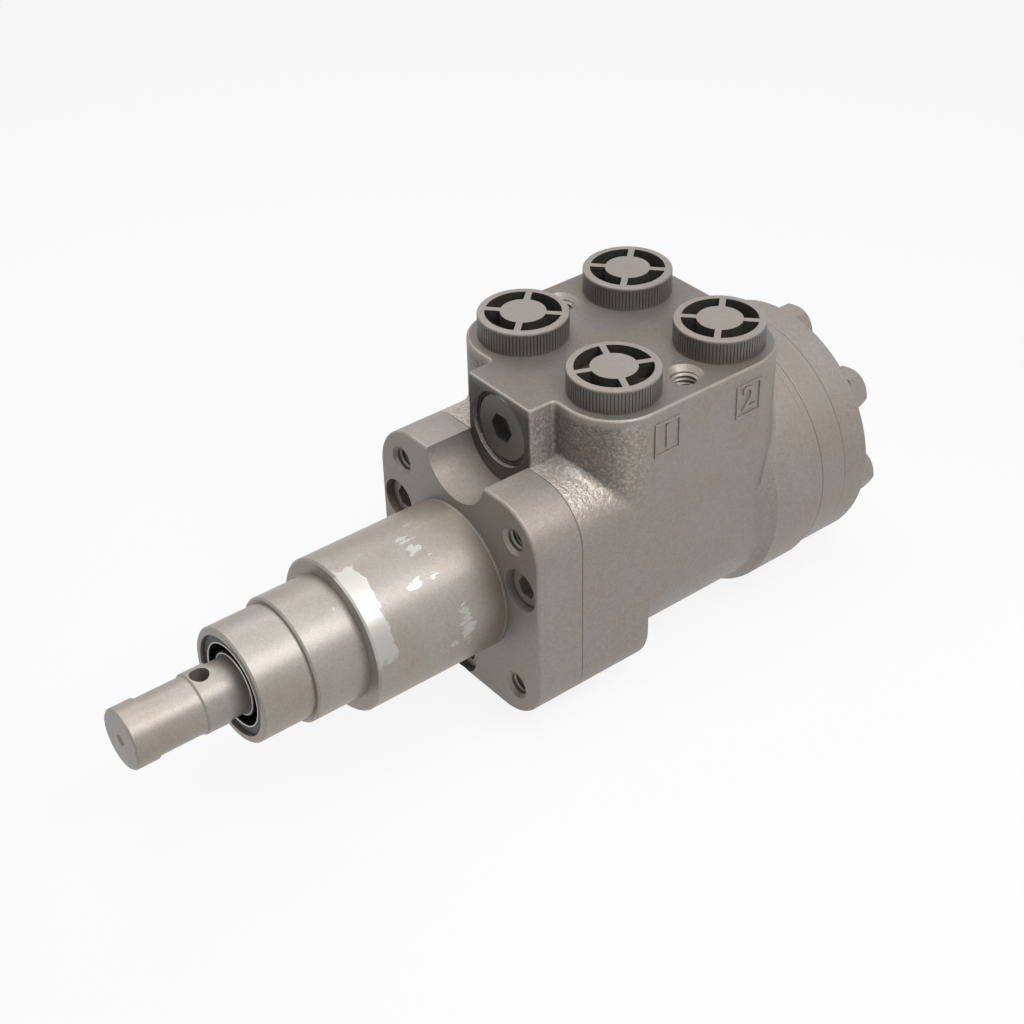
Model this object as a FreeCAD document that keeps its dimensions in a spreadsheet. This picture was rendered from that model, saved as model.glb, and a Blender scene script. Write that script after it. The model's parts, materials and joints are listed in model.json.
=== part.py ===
import FreeCAD, Part
import Sketcher
import math
import os
import re

# Orbital steering unit with a stepped steering column.
# Millimetres, +Z up. The shaft lies along Y with its tip towards -Y. The origin is on the
# shaft's axis, in the front face of the mounting flange.

SIZES = (
    # Clearances and edges
    ("fit_gap", 0.05, "radial gap of a fixed fit"),
    ("turning_gap", 0.1, "radial gap of a turning or sliding fit"),
    ("face_gap", 0.1, "gap between flat faces that turn on each other"),
    ("edge_break", 0.7, "chamfer on the outer edges of turned pieces"),
    # Column
    ("column_reach", 97.7, "flange face to the mouth of the column"),
    ("nose_length", 20.3, "length of the thin front step"),
    ("nose_radius", 21.7, "radius of the thin front step"),
    ("waist_length", 21.2, "length of the middle step"),
    ("waist_radius", 23.7, "radius of the middle step"),
    ("barrel_radius", 29.25, "radius of the thick step at the flange"),
    ("spigot_radius", 26.0, "radius of the spigot in the flange"),
    ("spigot_length", 8.0, "length of the spigot in the flange"),
    ("barrel_seat", 3.0, "depth of the barrel's conical seat in the flange"),
    ("mouth_bore", 18.9, "radius of the bore at the mouth"),
    ("tube_bore", 16.0, "radius of the long bore"),
    ("seal_inset", 1.2, "mouth to the face of the dust seal"),
    ("seal_length", 9.0, "length of the dust seal"),
    ("seal_wall", 3.4, "thickness of the seal's outer wall"),
    ("seal_web", 2.0, "thickness of the seal's rear web"),
    ("seal_lip", 1.4, "thickness of the seal's lip"),
    ("seal_bevel", 0.6, "bevel of the seal's lip and inset of its tip"),
    ("clip_width", 1.2, "width of both retaining rings"),
    ("clip_depth", 1.0, "depth of both retaining ring grooves"),
    ("clip_height", 3.0, "radial height of both retaining rings"),
    ("clip_opening", 8.0, "opening between the ends of both retaining rings"),
    ("clip_spare", 0.4, "space round the retaining ring in the mouth"),
    ("bearing_radius", 18.5, "outer radius of the ball bearing"),
    ("bearing_bore", 10.0, "bore radius of the ball bearing"),
    ("bearing_width", 9.0, "width of the ball bearing"),
    ("race_height", 2.6, "radial height of each race"),
    ("ball_radius", 2.1, "radius of the bearing balls"),
    ("ball_count", 9, "number of bearing balls"),
    ("cage_height", 1.6, "radial height of the ball cage"),
    ("cage_width", 5.6, "width of the ball cage"),
    ("bush_radius", 13.5, "outer radius of the rear bush"),
    ("bush_length", 22.0, "length of the rear bush"),
    ("bush_stop_bore", 12.0, "bore radius of the stop in front of the rear bush"),
    ("bush_stop_length", 2.0, "length of that stop"),
    ("bush_stop_cone", 4.0, "length of the cone in front of that stop"),
    # Input shaft
    ("shaft_overhang", 42.1, "mouth of the column to the tip of the shaft"),
    ("collar_radius", 11.2, "radius of the tip collar and of the drilled band"),
    ("collar_length", 8.8, "length of the tip collar"),
    ("neck_radius", 10.5, "radius of the shaft in front of the bearing"),
    ("band_offset", 26.8, "tip to the front of the drilled band"),
    ("band_length", 9.2, "length of the drilled band"),
    ("cross_hole_radius", 3.5, "radius of the cross hole in the band"),
    ("centre_drill_radius", 2.2, "mouth radius of the centre drill"),
    ("spline_teeth", 10, "teeth of the shaft's drive spline"),
    ("spline_crest", 8.2, "crest radius of the shaft's drive spline"),
    ("spline_root", 6.9, "root radius of the shaft's drive spline"),
    ("spline_length", 18.0, "length of the shaft's drive spline"),
    ("spline_start", 5.0, "flange face to the shaft's drive spline"),
    # Mounting flange
    ("flange_width", 92.0, "width and height of the square flange"),
    ("flange_corner", 20.0, "corner radius of the flange and of the housing's front"),
    ("flange_thickness", 20.0, "thickness of the flange"),
    ("flange_edge", 1.2, "rounding of the flange's front edge"),
    ("notch_radius", 17.0, "radius of the notch for the relief plug"),
    ("notch_height", 49.5, "height of the notch's centre"),
    ("mount_pitch", 65.0, "pitch of the tapped mounting holes"),
    ("mount_hole_radius", 4.25, "tap drill radius of the mounting holes"),
    ("mount_rim_radius", 5.6, "countersink radius of the mounting holes"),
    ("mount_hole_depth", 17.0, "depth of the mounting holes"),
    ("neck_hole", 12.0, "radius of the flange's hole for the spool's neck"),
    # Flange screws
    ("screw_circle", 38.2, "radius on which the upper flange screws lie"),
    ("screw_angle", 20.0, "angle of the upper flange screws above the shaft"),
    ("lower_screw_drop", 37.65, "axis to the lower flange screw"),
    ("screw_radius", 5.0, "thread radius of the flange screws and end cap bolts"),
    ("screw_head_radius", 8.0, "head radius of the flange screws"),
    ("screw_head_height", 10.0, "head height of the flange screws"),
    ("screw_inset", 3.0, "flange face to the screw heads"),
    ("screw_reach", 18.0, "thread length of the flange screws in the housing"),
    ("screw_key", 8.0, "key width of the flange screws"),
    ("screw_key_depth", 5.0, "socket depth of the flange screws"),
    ("counterbore_radius", 8.25, "radius of the counterbores in the flange"),
    # Neck seal
    ("neck_seal_radius", 16.0, "outer radius of the neck seal"),
    ("neck_seal_length", 7.5, "length of the neck seal"),
    ("neck_seal_wall", 1.6, "thickness of the neck seal's outer wall"),
    ("neck_seal_web", 2.0, "thickness of the neck seal's rear web"),
    ("neck_seal_lip", 1.0, "thickness of the neck seal's lip"),
    ("neck_seal_lip_length", 4.0, "length of the neck seal's lip"),
    # Housing
    ("housing_length", 114.0, "flange to distributor plate"),
    ("front_block_length", 31.8, "length of the housing's square front"),
    ("side_step", 0.05, "how far the cast sides lie inside the square front"),
    ("body_radius", 47.6, "radius of the housing's round body"),
    ("port_spacing_x", 50.0, "spacing of the ports across the unit"),
    ("port_spacing_y", 50.4, "spacing of the ports along the unit"),
    ("port_front", 52.0, "flange face to the front ports"),
    ("port_face", 69.5, "height of the port face"),
    ("boss_half_width", 17.5, "half the width of the relief boss"),
    ("boss_corner", 1.5, "rounding of the relief boss's front edges"),
    ("rim_radius", 50.9, "radius of the housing's rear flange"),
    ("rim_length", 30.0, "length of the rear flange with its blend"),
    ("rim_blend", 8.0, "length of the rear flange's blend"),
    ("cast_blend", 3.6, "radius of the casting's inner blends"),
    ("groove_blend", 1.5, "radius in the grooves beside the relief boss"),
    ("cast_edge", 1.2, "radius of the casting's upper edges"),
    ("port_radius", 12.05, "thread radius of the ports"),
    ("port_depth", 16.5, "depth of the ports"),
    ("passage_radius", 4.0, "radius of the passages under the ports"),
    ("passage_offset", 17.5, "distance of the passages from the middle"),
    ("top_hole_spacing", 68.0, "spacing of the tapped holes in the port face"),
    ("top_hole_radius", 5.1, "tap drill radius of those holes"),
    ("top_hole_rim", 7.0, "countersink radius of those holes"),
    ("top_hole_depth", 18.0, "depth of those holes"),
    # Thrust bearing
    ("thrust_pocket_radius", 24.0, "radius of the pocket for the thrust bearing"),
    ("thrust_bore", 11.6, "bore radius of the thrust races"),
    ("race_thickness", 1.2, "thickness of each thrust race"),
    ("needle_radius", 1.2, "radius of the thrust needles"),
    ("needle_length", 6.4, "length of the thrust needles"),
    ("needle_circle", 18.6, "radius on which the needles' middles lie"),
    ("needle_count", 12, "number of thrust needles"),
    ("thrust_cage_thickness", 1.6, "thickness of the needle cage"),
    # Spool and sleeve
    ("spool_neck_radius", 11.0, "radius of the spool's neck"),
    ("spool_radius", 14.5, "radius of the spool"),
    ("spool_bore", 10.2, "radius of the spool's long bore"),
    ("spool_end_gap", 4.0, "distributor plate to the spool"),
    ("sleeve_radius", 19.0, "outer radius of the sleeve"),
    ("sleeve_groove_depth", 1.2, "depth of the sleeve's ring grooves"),
    ("sleeve_groove_width", 5.0, "width of the sleeve's ring grooves"),
    ("sleeve_groove_count", 3, "number of the sleeve's ring grooves"),
    ("sleeve_groove_start", 75.0, "flange face to the first ring groove"),
    ("sleeve_groove_pitch", 17.4, "pitch of the ring grooves"),
    ("spool_slot_length", 26.0, "length of the spool's oil slots"),
    ("spool_slot_width", 3.0, "width of the spool's oil slots"),
    ("spool_slot_depth", 1.2, "depth of the spool's oil slots"),
    ("pin_station", 50.0, "flange face to the cross pin"),
    ("pin_radius", 4.0, "radius of the cross pin"),
    ("pin_reach", 18.4, "half the length of the cross pin"),
    ("pin_free_radius", 6.2, "radius of the spool's holes round the cross pin"),
    ("spring_station", 32.8, "flange face to the middle of the centring springs"),
    ("spring_width", 5.2, "width of the centring springs"),
    ("spring_slot_height", 5.2, "height of the slots for the centring springs"),
    ("leaf_thickness", 0.5, "thickness of one spring leaf"),
    ("spring_ring_width", 7.4, "width of the ring round the springs"),
    ("spring_ring_height", 1.5, "radial height of the ring round the springs"),
    # Distributor plate, gear set and end cap
    ("plate_thickness", 3.8, "thickness of the distributor plate"),
    ("gear_thickness", 12.2, "thickness of the gear ring"),
    ("cap_thickness", 12.6, "thickness of the end cap"),
    ("cap_edge", 1.5, "rounding of the end cap's rear edge"),
    ("disc_radius", 49.5, "outer radius of plate, gear ring and end cap"),
    ("bolt_circle", 39.0, "radius on which the end cap bolts lie"),
    ("bolt_count", 7, "number of end cap bolts, gear ring lobes and plate ports"),
    ("bolt_reach", 17.0, "thread length of the end cap bolts in the housing"),
    ("bolt_key", 16.0, "key width of the end cap bolts"),
    ("bolt_head_height", 7.5, "head height of the end cap bolts"),
    ("washer_radius", 8.4, "radius of the washers"),
    ("washer_thickness", 1.4, "thickness of the washers"),
    ("plate_bore", 10.3, "radius of the plate's hole for the drive shaft"),
    ("plate_port_radius", 2.2, "radius of the plate's ports"),
    ("plate_port_circle", 27.2, "radius on which the plate's ports lie"),
    ("lobe_circle", 33.0, "radius on which the gear ring's lobes lie"),
    ("gear_lobe_radius", 7.5, "radius of the gear ring's lobes"),
    ("eccentricity", 2.6, "offset of the rotor from the axis"),
    ("gear_gap", 0.08, "gap between rotor and gear ring"),
    ("gear_teeth", 12, "teeth of the spline between drive shaft and rotor"),
    ("gear_spline_crest", 9.0, "crest radius of that spline on the drive shaft"),
    ("gear_spline_root", 7.5, "root radius of that spline on the drive shaft"),
    ("gear_spline_gap", 0.3, "gap of that spline"),
    ("drive_head_length", 7.6, "length of the drive shaft's splined head"),
    ("drive_radius", 6.4, "radius of the drive shaft"),
    ("fork_radius", 8.6, "radius of the drive shaft's fork"),
    ("fork_length", 16.0, "length of the drive shaft's fork"),
    ("fork_gap", 0.35, "gap between the fork and the cross pin"),
    ("fork_end_gap", 0.4, "gap between the fork's end and the floor of the spool's bore"),
    ("spacer_radius", 7.2, "radius of the drive spacer"),
    ("spacer_thickness", 2.8, "thickness of the drive spacer"),
    # Ring seals
    ("o_ring_section", 1.0, "section radius of the ring seals"),
    ("flange_seal_circle", 28.2, "radius of the ring seal between flange and housing"),
    ("gear_seal_circle", 32.4, "radius of the ring seals at plate and gear ring"),
    # Relief valve
    ("relief_height", 53.6, "height of the relief valve"),
    ("plug_inset", 1.5, "boss face to the face of the relief plug"),
    ("plug_head_radius", 13.0, "head radius of the relief plug"),
    ("plug_head_length", 3.5, "head length of the relief plug"),
    ("plug_rim_length", 1.2, "length of the rim of the relief plug's head"),
    ("plug_undercut", 1.0, "depth of the undercut behind that rim"),
    ("plug_spot_radius", 14.5, "radius of the spot face round the plug"),
    ("plug_radius", 11.0, "thread radius of the relief plug"),
    ("plug_length", 14.0, "thread length of the relief plug"),
    ("plug_key", 10.0, "key width of the relief plug"),
    ("plug_key_depth", 5.0, "socket depth of the relief plug"),
    ("plug_seal_section", 0.7, "section radius of the plug's ring seal"),
    ("chamber_radius", 8.1, "radius of the relief chamber"),
    ("chamber_length", 37.0, "length of the relief chamber behind the plug"),
    ("relief_spring_radius", 4.6, "mean radius of the relief spring"),
    ("relief_wire", 1.3, "wire thickness of the relief spring"),
    ("relief_spring_length", 27.0, "length of the relief spring"),
    ("relief_turns", 5, "turns of the relief spring"),
    ("poppet_guide_length", 4.0, "length of the poppet's guide disc"),
    ("poppet_cone_radius", 4.6, "large radius of the poppet's cone"),
    ("poppet_cone_length", 4.5, "length of the poppet's cone"),
    ("poppet_entry", 1.1, "how far the poppet's cone enters the seat"),
    ("relief_seat_hole", 3.0, "radius of the hole in the relief seat"),
    ("relief_seat_length", 7.0, "length of the relief seat"),
    # Check valve
    ("check_offset", 20.0, "distance of the check valve from the middle"),
    ("check_chamber_radius", 6.1, "radius of the check valve's chamber"),
    ("check_chamber_depth", 13.0, "depth of that chamber under the port"),
    ("check_ball_radius", 4.75, "radius of the check ball"),
    ("check_seat_radius", 3.5, "radius of the hole that the check ball closes"),
    ("check_stop_height", 2.7, "height of the check ball's stop ring"),
    # Port caps
    ("cap_radius", 16.9, "radius of the port caps over their ribs"),
    ("cap_height", 9.4, "height of the port caps above the port face"),
    ("cap_spigot_radius", 11.75, "radius of the caps' spigots"),
    ("cap_spigot_length", 12.0, "length of the caps' spigots"),
    ("cap_disc_radius", 8.5, "radius of the caps' middle disc"),
    ("cap_window_radius", 13.7, "outer radius of the caps' windows"),
    ("cap_window_depth", 6.0, "depth of the caps' windows"),
    ("cap_spoke_width", 2.6, "width of the caps' spokes"),
    ("cap_rib_count", 72, "ribs round each cap"),
    ("cap_rib_height", 0.45, "height of those ribs"),
    ("cap_turn", 42.0, "turn of the spokes of three port caps"),
    ("tank_cap_turn", 66.0, "turn of the spokes of the tank port's cap"),
)

doc = FreeCAD.newDocument("orbital_steering_unit")
sheet = doc.addObject("Spreadsheet::Sheet", "sizes")
for row, (alias, amount, meaning) in enumerate(SIZES, start=1):
    sheet.set(f"A{row}", alias)
    sheet.set(f"B{row}", str(amount))
    sheet.set(f"C{row}", meaning)
    sheet.setAlias(f"B{row}", alias)
doc.recompute()

PIECES = []
ALONG_Y = FreeCAD.Rotation(FreeCAD.Vector(1, 0, 0), -90)
ALONG_X = FreeCAD.Rotation(FreeCAD.Vector(0, 1, 0), 90)
ALONG_Z = FreeCAD.Rotation()


# Half widths of a spline tooth at its foot and tip, as shares of the pitch
TOOTH_FOOT = 0.32
TOOTH_TIP = 0.17

# Stations along Y and other derived places, as expressions of the sizes
MOUTH = "(-column_reach)"
NOSE_END = "(nose_length - column_reach)"
WAIST_END = "(nose_length + waist_length - column_reach)"
SEAL_FACE = "(seal_inset - column_reach)"
CLIP_FRONT = f"({SEAL_FACE} + seal_length)"
BEARING_FRONT = f"({CLIP_FRONT} + clip_width)"
BEARING_BACK = f"({BEARING_FRONT} + bearing_width)"
BALL_CIRCLE = "((bearing_radius + bearing_bore) / 2)"
TIP = f"({MOUTH} - shaft_overhang)"
BAND_START = f"({TIP} + band_offset)"
BAND_END = f"({BAND_START} + band_length)"
BAND_MIDDLE = f"({BAND_START} + band_length / 2)"
NECK_FRONT = "(spigot_length + face_gap)"
HOUSING_BACK = "(flange_thickness + housing_length)"
PLATE_BACK = f"({HOUSING_BACK} + plate_thickness)"
GEAR_BACK = f"({PLATE_BACK} + gear_thickness)"
CAP_BACK = f"({GEAR_BACK} + cap_thickness)"
GEAR_MIDDLE = f"({PLATE_BACK} + gear_thickness / 2)"
NEEDLE_FRONT = "(flange_thickness + race_thickness + face_gap)"
REAR_RACE_FRONT = f"({NEEDLE_FRONT} + 2 * needle_radius + face_gap)"
SLEEVE_FRONT = f"({REAR_RACE_FRONT} + race_thickness + face_gap)"
SLEEVE_BACK = f"({HOUSING_BACK} - face_gap)"
SPOOL_FRONT = f"({SLEEVE_FRONT} + face_gap)"
SPOOL_BACK = f"({HOUSING_BACK} - spool_end_gap)"
SLEEVE_BORE = "(spool_radius + turning_gap)"
MAIN_BORE = "(sleeve_radius + turning_gap)"
SPRING_FRONT = "(spring_station - spring_width / 2)"
SPRING_RING_FRONT = "(spring_station - spring_ring_width / 2)"
SPRING_RING_RADIUS = "(sleeve_radius + fit_gap + spring_ring_height)"
PLUG_FACE = "(flange_thickness + plug_inset)"
PLUG_SHOULDER = f"({PLUG_FACE} + plug_head_length)"
PLUG_END = f"({PLUG_SHOULDER} + plug_length)"
CHAMBER_END = f"({PLUG_END} + chamber_length)"
RELIEF_SEAT_FACE = f"({CHAMBER_END} - relief_seat_length)"
SPRING_SEAT = f"({PLUG_FACE} + plug_key_depth + 3 * relief_wire)"
POPPET_FRONT = f"({SPRING_SEAT} + relief_spring_length + face_gap)"
PORT_REAR = "(port_front + port_spacing_y)"
PORT_SIDE = "(port_spacing_x / 2)"
BODY_SIDE = "(flange_width / 2 - side_step)"
LOBE_RADIUS = f"({BODY_SIDE} - {PORT_SIDE})"
BLOCK_FRONT = f"(port_front - {LOBE_RADIUS})"
BLOCK_BACK = f"({PORT_REAR} + {LOBE_RADIUS})"
PORT_FLOOR = "(port_face - port_depth)"
PASSAGE_FLOOR = "(sleeve_radius / 3)"
CHECK_FLOOR = f"({PORT_FLOOR} - check_chamber_depth)"


def bound(text):
    """An expression with each size taken from the sheet."""
    return re.sub(r"\b([a-z]\w*)\b(?!\()", r"sizes.\1", str(text))


def number(text):
    """The value of an expression of sizes."""
    result = sheet.evalExpression(bound(text))
    return float(getattr(result, "Value", result))


def bind(target, **expressions):
    for name, text in expressions.items():
        target.setExpression(name, bound(text))
    return target


def place(target, x="0", y="0", z="0"):
    """Binds the place of an object to sizes and leaves its turn as it is."""
    for axis, text in (("x", x), ("y", y), ("z", z)):
        target.setExpression(f"Placement.Base.{axis}", bound(text))
    return target


def piece(label, source):
    """Names a finished sub-part, which is then written to a file of that name."""
    source.Label = label
    PIECES.append(source)
    return source


def rod(radius, start, end, x="0", z="0"):
    """A cylinder along Y between two stations."""
    part = doc.addObject("Part::Cylinder", "Rod")
    part.Placement.Rotation = ALONG_Y
    bind(part, Radius=radius, Height=f"({end}) - ({start})")
    return place(part, x, start, z)


def cone(start_radius, end_radius, start, end, x="0", z="0"):
    """A cone along Y between two stations."""
    part = doc.addObject("Part::Cone", "Cone")
    part.Placement.Rotation = ALONG_Y
    bind(part, Radius1=start_radius, Radius2=end_radius, Height=f"({end}) - ({start})")
    return place(part, x, start, z)


def post(radius, bottom, top, x="0", y="0"):
    """A cylinder along Z between two heights."""
    part = doc.addObject("Part::Cylinder", "Post")
    bind(part, Radius=radius, Height=f"({top}) - ({bottom})")
    return place(part, x, y, bottom)


def bar(radius, left, right, y="0", z="0"):
    """A cylinder along X between two places."""
    part = doc.addObject("Part::Cylinder", "Bar")
    part.Placement.Rotation = ALONG_X
    bind(part, Radius=radius, Height=f"({right}) - ({left})")
    return place(part, left, y, z)


def spoke(radius, length, angle, x, y, z):
    """A cylinder that points away from the shaft's axis, the angle measured from +X to +Z."""
    part = doc.addObject("Part::Cylinder", "Spoke")
    part.Placement.Rotation = FreeCAD.Rotation(FreeCAD.Vector(0, 1, 0), 90 - number(angle))
    bind(part, Radius=radius, Height=length)
    return place(part, x, y, z)


def block(x, y, z):
    """A box from three pairs of expressions, its lowest and highest x, y and z."""
    part = doc.addObject("Part::Box", "Block")
    bind(part, Length=f"({x[1]}) - ({x[0]})", Width=f"({y[1]}) - ({y[0]})",
         Height=f"({z[1]}) - ({z[0]})")
    return place(part, x[0], y[0], z[0])


def fused(*parts):
    joined = doc.addObject("Part::MultiFuse", "Fused")
    joined.Shapes = list(parts)
    return joined


def cut(base, *tools):
    result = doc.addObject("Part::Cut", "Cut")
    result.Base = base
    result.Tool = tools[0] if len(tools) == 1 else fused(*tools)
    return result


def group(*parts):
    """Separate solids that share one node."""
    result = doc.addObject("Part::Compound", "Group")
    result.Links = list(parts)
    return result


def origin_plane(body, role):
    return next(item for item in body.Origin.OriginFeatures if item.Role == role)


def profile(body, role, points):
    """A closed sketch of straight lines whose corners are bound to sizes."""
    sketch = body.newObject("Sketcher::SketchObject", "Profile")
    sketch.AttachmentSupport = (origin_plane(body, role), [""])
    sketch.MapMode = "FlatFace"
    count = len(points)
    corners = [FreeCAD.Vector(number(a), number(b), 0) for a, b in points]
    sketch.addGeometry([Part.LineSegment(corners[i], corners[(i + 1) % count])
                        for i in range(count)], False)
    rules = [Sketcher.Constraint("Coincident", i, 2, (i + 1) % count, 1) for i in range(count)]
    for i, corner in enumerate(corners):
        rules.append(Sketcher.Constraint("DistanceX", -1, 1, i, 1, corner.x))
        rules.append(Sketcher.Constraint("DistanceY", -1, 1, i, 1, corner.y))
    sketch.addConstraint(rules)
    for i, (a, b) in enumerate(points):
        sketch.setExpression(f"Constraints[{count + 2 * i}]", bound(a))
        sketch.setExpression(f"Constraints[{count + 2 * i + 1}]", bound(b))
    return sketch


def turned(points, x="0", z="0"):
    """A piece turned about an axis along Y, from corners given as (station, radius)."""
    body = doc.addObject("PartDesign::Body", "Turned")
    turn = body.newObject("PartDesign::Revolution", "Turn")
    sketch = profile(body, "YZ_Plane", points)
    turn.Profile = (sketch, [""])
    turn.ReferenceAxis = (sketch, ["H_Axis"])
    turn.Angle = 360
    body.Tip = turn
    return place(body, x, "0", z)


def turned_upright(points, x="0", y="0"):
    """A piece turned about an axis along Z, from corners given as (radius, height)."""
    body = doc.addObject("PartDesign::Body", "TurnedUpright")
    turn = body.newObject("PartDesign::Revolution", "Turn")
    sketch = profile(body, "XZ_Plane", points)
    turn.Profile = (sketch, [""])
    turn.ReferenceAxis = (sketch, ["V_Axis"])
    turn.Angle = 360
    body.Tip = turn
    return place(body, x, y, "0")


def ring(inner, outer, start, end, x="0", z="0"):
    """A plain ring about an axis along Y."""
    return turned([(start, inner), (start, outer), (end, outer), (end, inner)], x, z)


def edge_names(shape, wanted):
    return [f"Edge{i}" for i, edge in enumerate(shape.Edges, start=1) if wanted(edge)]


def along(edge, axis):
    direction = edge.tangentAt(edge.FirstParameter)
    return isinstance(edge.Curve, Part.Line) and abs(abs(direction.dot(axis)) - 1) < 1e-6


def rounded_square(start, length, front_edge=None):
    """The square outline with rounded corners that the flange and the housing share."""
    body = doc.addObject("PartDesign::Body", "Square")
    half = "flange_width / 2"
    sketch = profile(body, "XZ_Plane", [(f"-{half}", f"-{half}"), (half, f"-{half}"),
                                        (half, half), (f"-{half}", half)])
    sketch.setExpression("AttachmentOffset.Base.z", bound(f"-({start})"))
    pad = body.newObject("PartDesign::Pad", "Pad")
    pad.Profile = (sketch, [""])
    pad.Reversed = True
    bind(pad, Length=length)
    body.Tip = pad
    doc.recompute()
    corners = body.newObject("PartDesign::Fillet", "Corners")
    lengthwise = FreeCAD.Vector(0, 1, 0)
    corners.Base = (pad, edge_names(pad.Shape, lambda edge: along(edge, lengthwise)))
    bind(corners, Radius="flange_corner")
    body.Tip = corners
    if front_edge:
        doc.recompute()
        front = number(start)
        rim = body.newObject("PartDesign::Fillet", "FrontEdge")
        rim.Base = (corners, edge_names(corners.Shape,
                                        lambda edge: edge.BoundBox.YMax < front + 1e-6))
        bind(rim, Radius=front_edge)
        body.Tip = rim
    return body


def polar(radius, angle):
    """Expressions for x and z of a point on a circle, the angle measured from +X to +Z."""
    return f"({radius}) * cos({angle})", f"({radius}) * sin({angle})"


def bolt_places():
    """Places of the end cap bolts, the first one at the top."""
    return [polar("bolt_circle", f"90 - {k} * 360 / bolt_count")
            for k in range(int(number("bolt_count")))]


def hexagon(key, start, end, x="0", z="0"):
    """A hexagonal prism along Y."""
    part = doc.addObject("Part::Prism", "Hexagon")
    part.Polygon = 6
    part.Placement.Rotation = ALONG_Y
    bind(part, Circumradius=f"{key} / sqrt(3)", Height=f"({end}) - ({start})")
    return place(part, x, start, z)


def o_ring(circle, section, station, x="0", z="0"):
    part = doc.addObject("Part::Torus", "RingSeal")
    part.Placement.Rotation = ALONG_Y
    bind(part, Radius1=circle, Radius2=section)
    return place(part, x, station, z)


def seal_groove(circle, face):
    """The groove that a ring seal lies in, cut back from a face."""
    return ring(f"{circle} - o_ring_section - fit_gap", f"{circle} + o_ring_section + fit_gap",
                f"({face}) - 1", f"({face}) + 2 * o_ring_section + fit_gap")


def seal_in_groove(circle, face):
    return o_ring(circle, "o_ring_section", f"({face}) + o_ring_section + fit_gap / 2")


def toothed(teeth, root, crest, start, end, gap=0):
    """A straight spline along Y, as a solid of flat-sided teeth, made larger all round by a gap."""
    pitch = 2 * math.pi / teeth
    flanks = ((-TOOTH_FOOT, root + gap), (-TOOTH_TIP, crest + gap),
              (TOOTH_TIP, crest + gap), (TOOTH_FOOT, root + gap))
    outline = []
    for tooth in range(teeth):
        for share, radius in flanks:
            angle = (tooth + share) * pitch + math.copysign(gap / radius, share)
            across, up = radius * math.sin(angle), radius * math.cos(angle)
            outline.append(FreeCAD.Vector(across, start, up))
    face = Part.Face(Part.makePolygon(outline + outline[:1]))
    return face.extrude(FreeCAD.Vector(0, end - start, 0))


def shaped(name, shape):
    """A document object for a shape that is worked out from the sheet's values."""
    part = doc.addObject("Part::Feature", name)
    part.Shape = shape
    return part


def column_tube():
    bush_front = "(spigot_length - bush_length)"
    groove = "(bearing_radius + clip_depth + clip_spare)"
    piece("column_tube", turned([
        (MOUTH, "mouth_bore"),
        (MOUTH, "nose_radius - edge_break"),
        (f"{MOUTH} + edge_break", "nose_radius"),
        (NOSE_END, "nose_radius"),
        (NOSE_END, "waist_radius - edge_break"),
        (f"{NOSE_END} + edge_break", "waist_radius"),
        (WAIST_END, "waist_radius"),
        (WAIST_END, "barrel_radius - edge_break"),
        (f"{WAIST_END} + edge_break", "barrel_radius"),
        ("0", "barrel_radius"),
        ("barrel_seat", "spigot_radius"),
        ("spigot_length", "spigot_radius"),
        ("spigot_length", "bush_radius"),
        (bush_front, "bush_radius"),
        (bush_front, "bush_stop_bore"),
        (f"{bush_front} - bush_stop_length", "bush_stop_bore"),
        (f"{bush_front} - bush_stop_length - bush_stop_cone", "tube_bore"),
        (BEARING_BACK, "tube_bore"),
        (BEARING_BACK, "bearing_radius"),
        (BEARING_FRONT, "bearing_radius"),
        (BEARING_FRONT, groove),
        (CLIP_FRONT, groove),
        (CLIP_FRONT, "mouth_bore"),
    ]))
    piece("column_bush", ring("bearing_bore + fit_gap", "bush_radius - fit_gap",
                              bush_front, "spigot_length"))


def mouth_parts():
    """The dust seal and the retaining ring in the mouth of the column."""
    lip = "(neck_radius + fit_gap)"
    outer = "(mouth_bore - fit_gap)"
    web_front = f"({CLIP_FRONT} - seal_web)"
    piece("dust_seal", turned([
        (SEAL_FACE, f"{outer} - seal_wall"),
        (SEAL_FACE, outer),
        (CLIP_FRONT, outer),
        (CLIP_FRONT, f"{lip} + seal_bevel"),
        (web_front, f"{lip} + seal_bevel"),
        (f"{SEAL_FACE} + seal_bevel", lip),
        (f"{SEAL_FACE} + seal_bevel", f"{lip} + seal_lip"),
        (web_front, f"{lip} + seal_lip + seal_bevel"),
        (web_front, f"{outer} - seal_wall"),
    ]))
    outer_edge = "(bearing_radius + clip_depth + clip_spare - fit_gap)"
    clip = ring(f"{outer_edge} - clip_height", outer_edge, CLIP_FRONT, BEARING_FRONT)
    gap = block(("-clip_opening / 2", "clip_opening / 2"),
                (f"{CLIP_FRONT} - 1", f"{BEARING_FRONT} + 1"), ("-nose_radius", "0"))
    piece("mouth_retaining_ring", cut(clip, gap))


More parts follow.
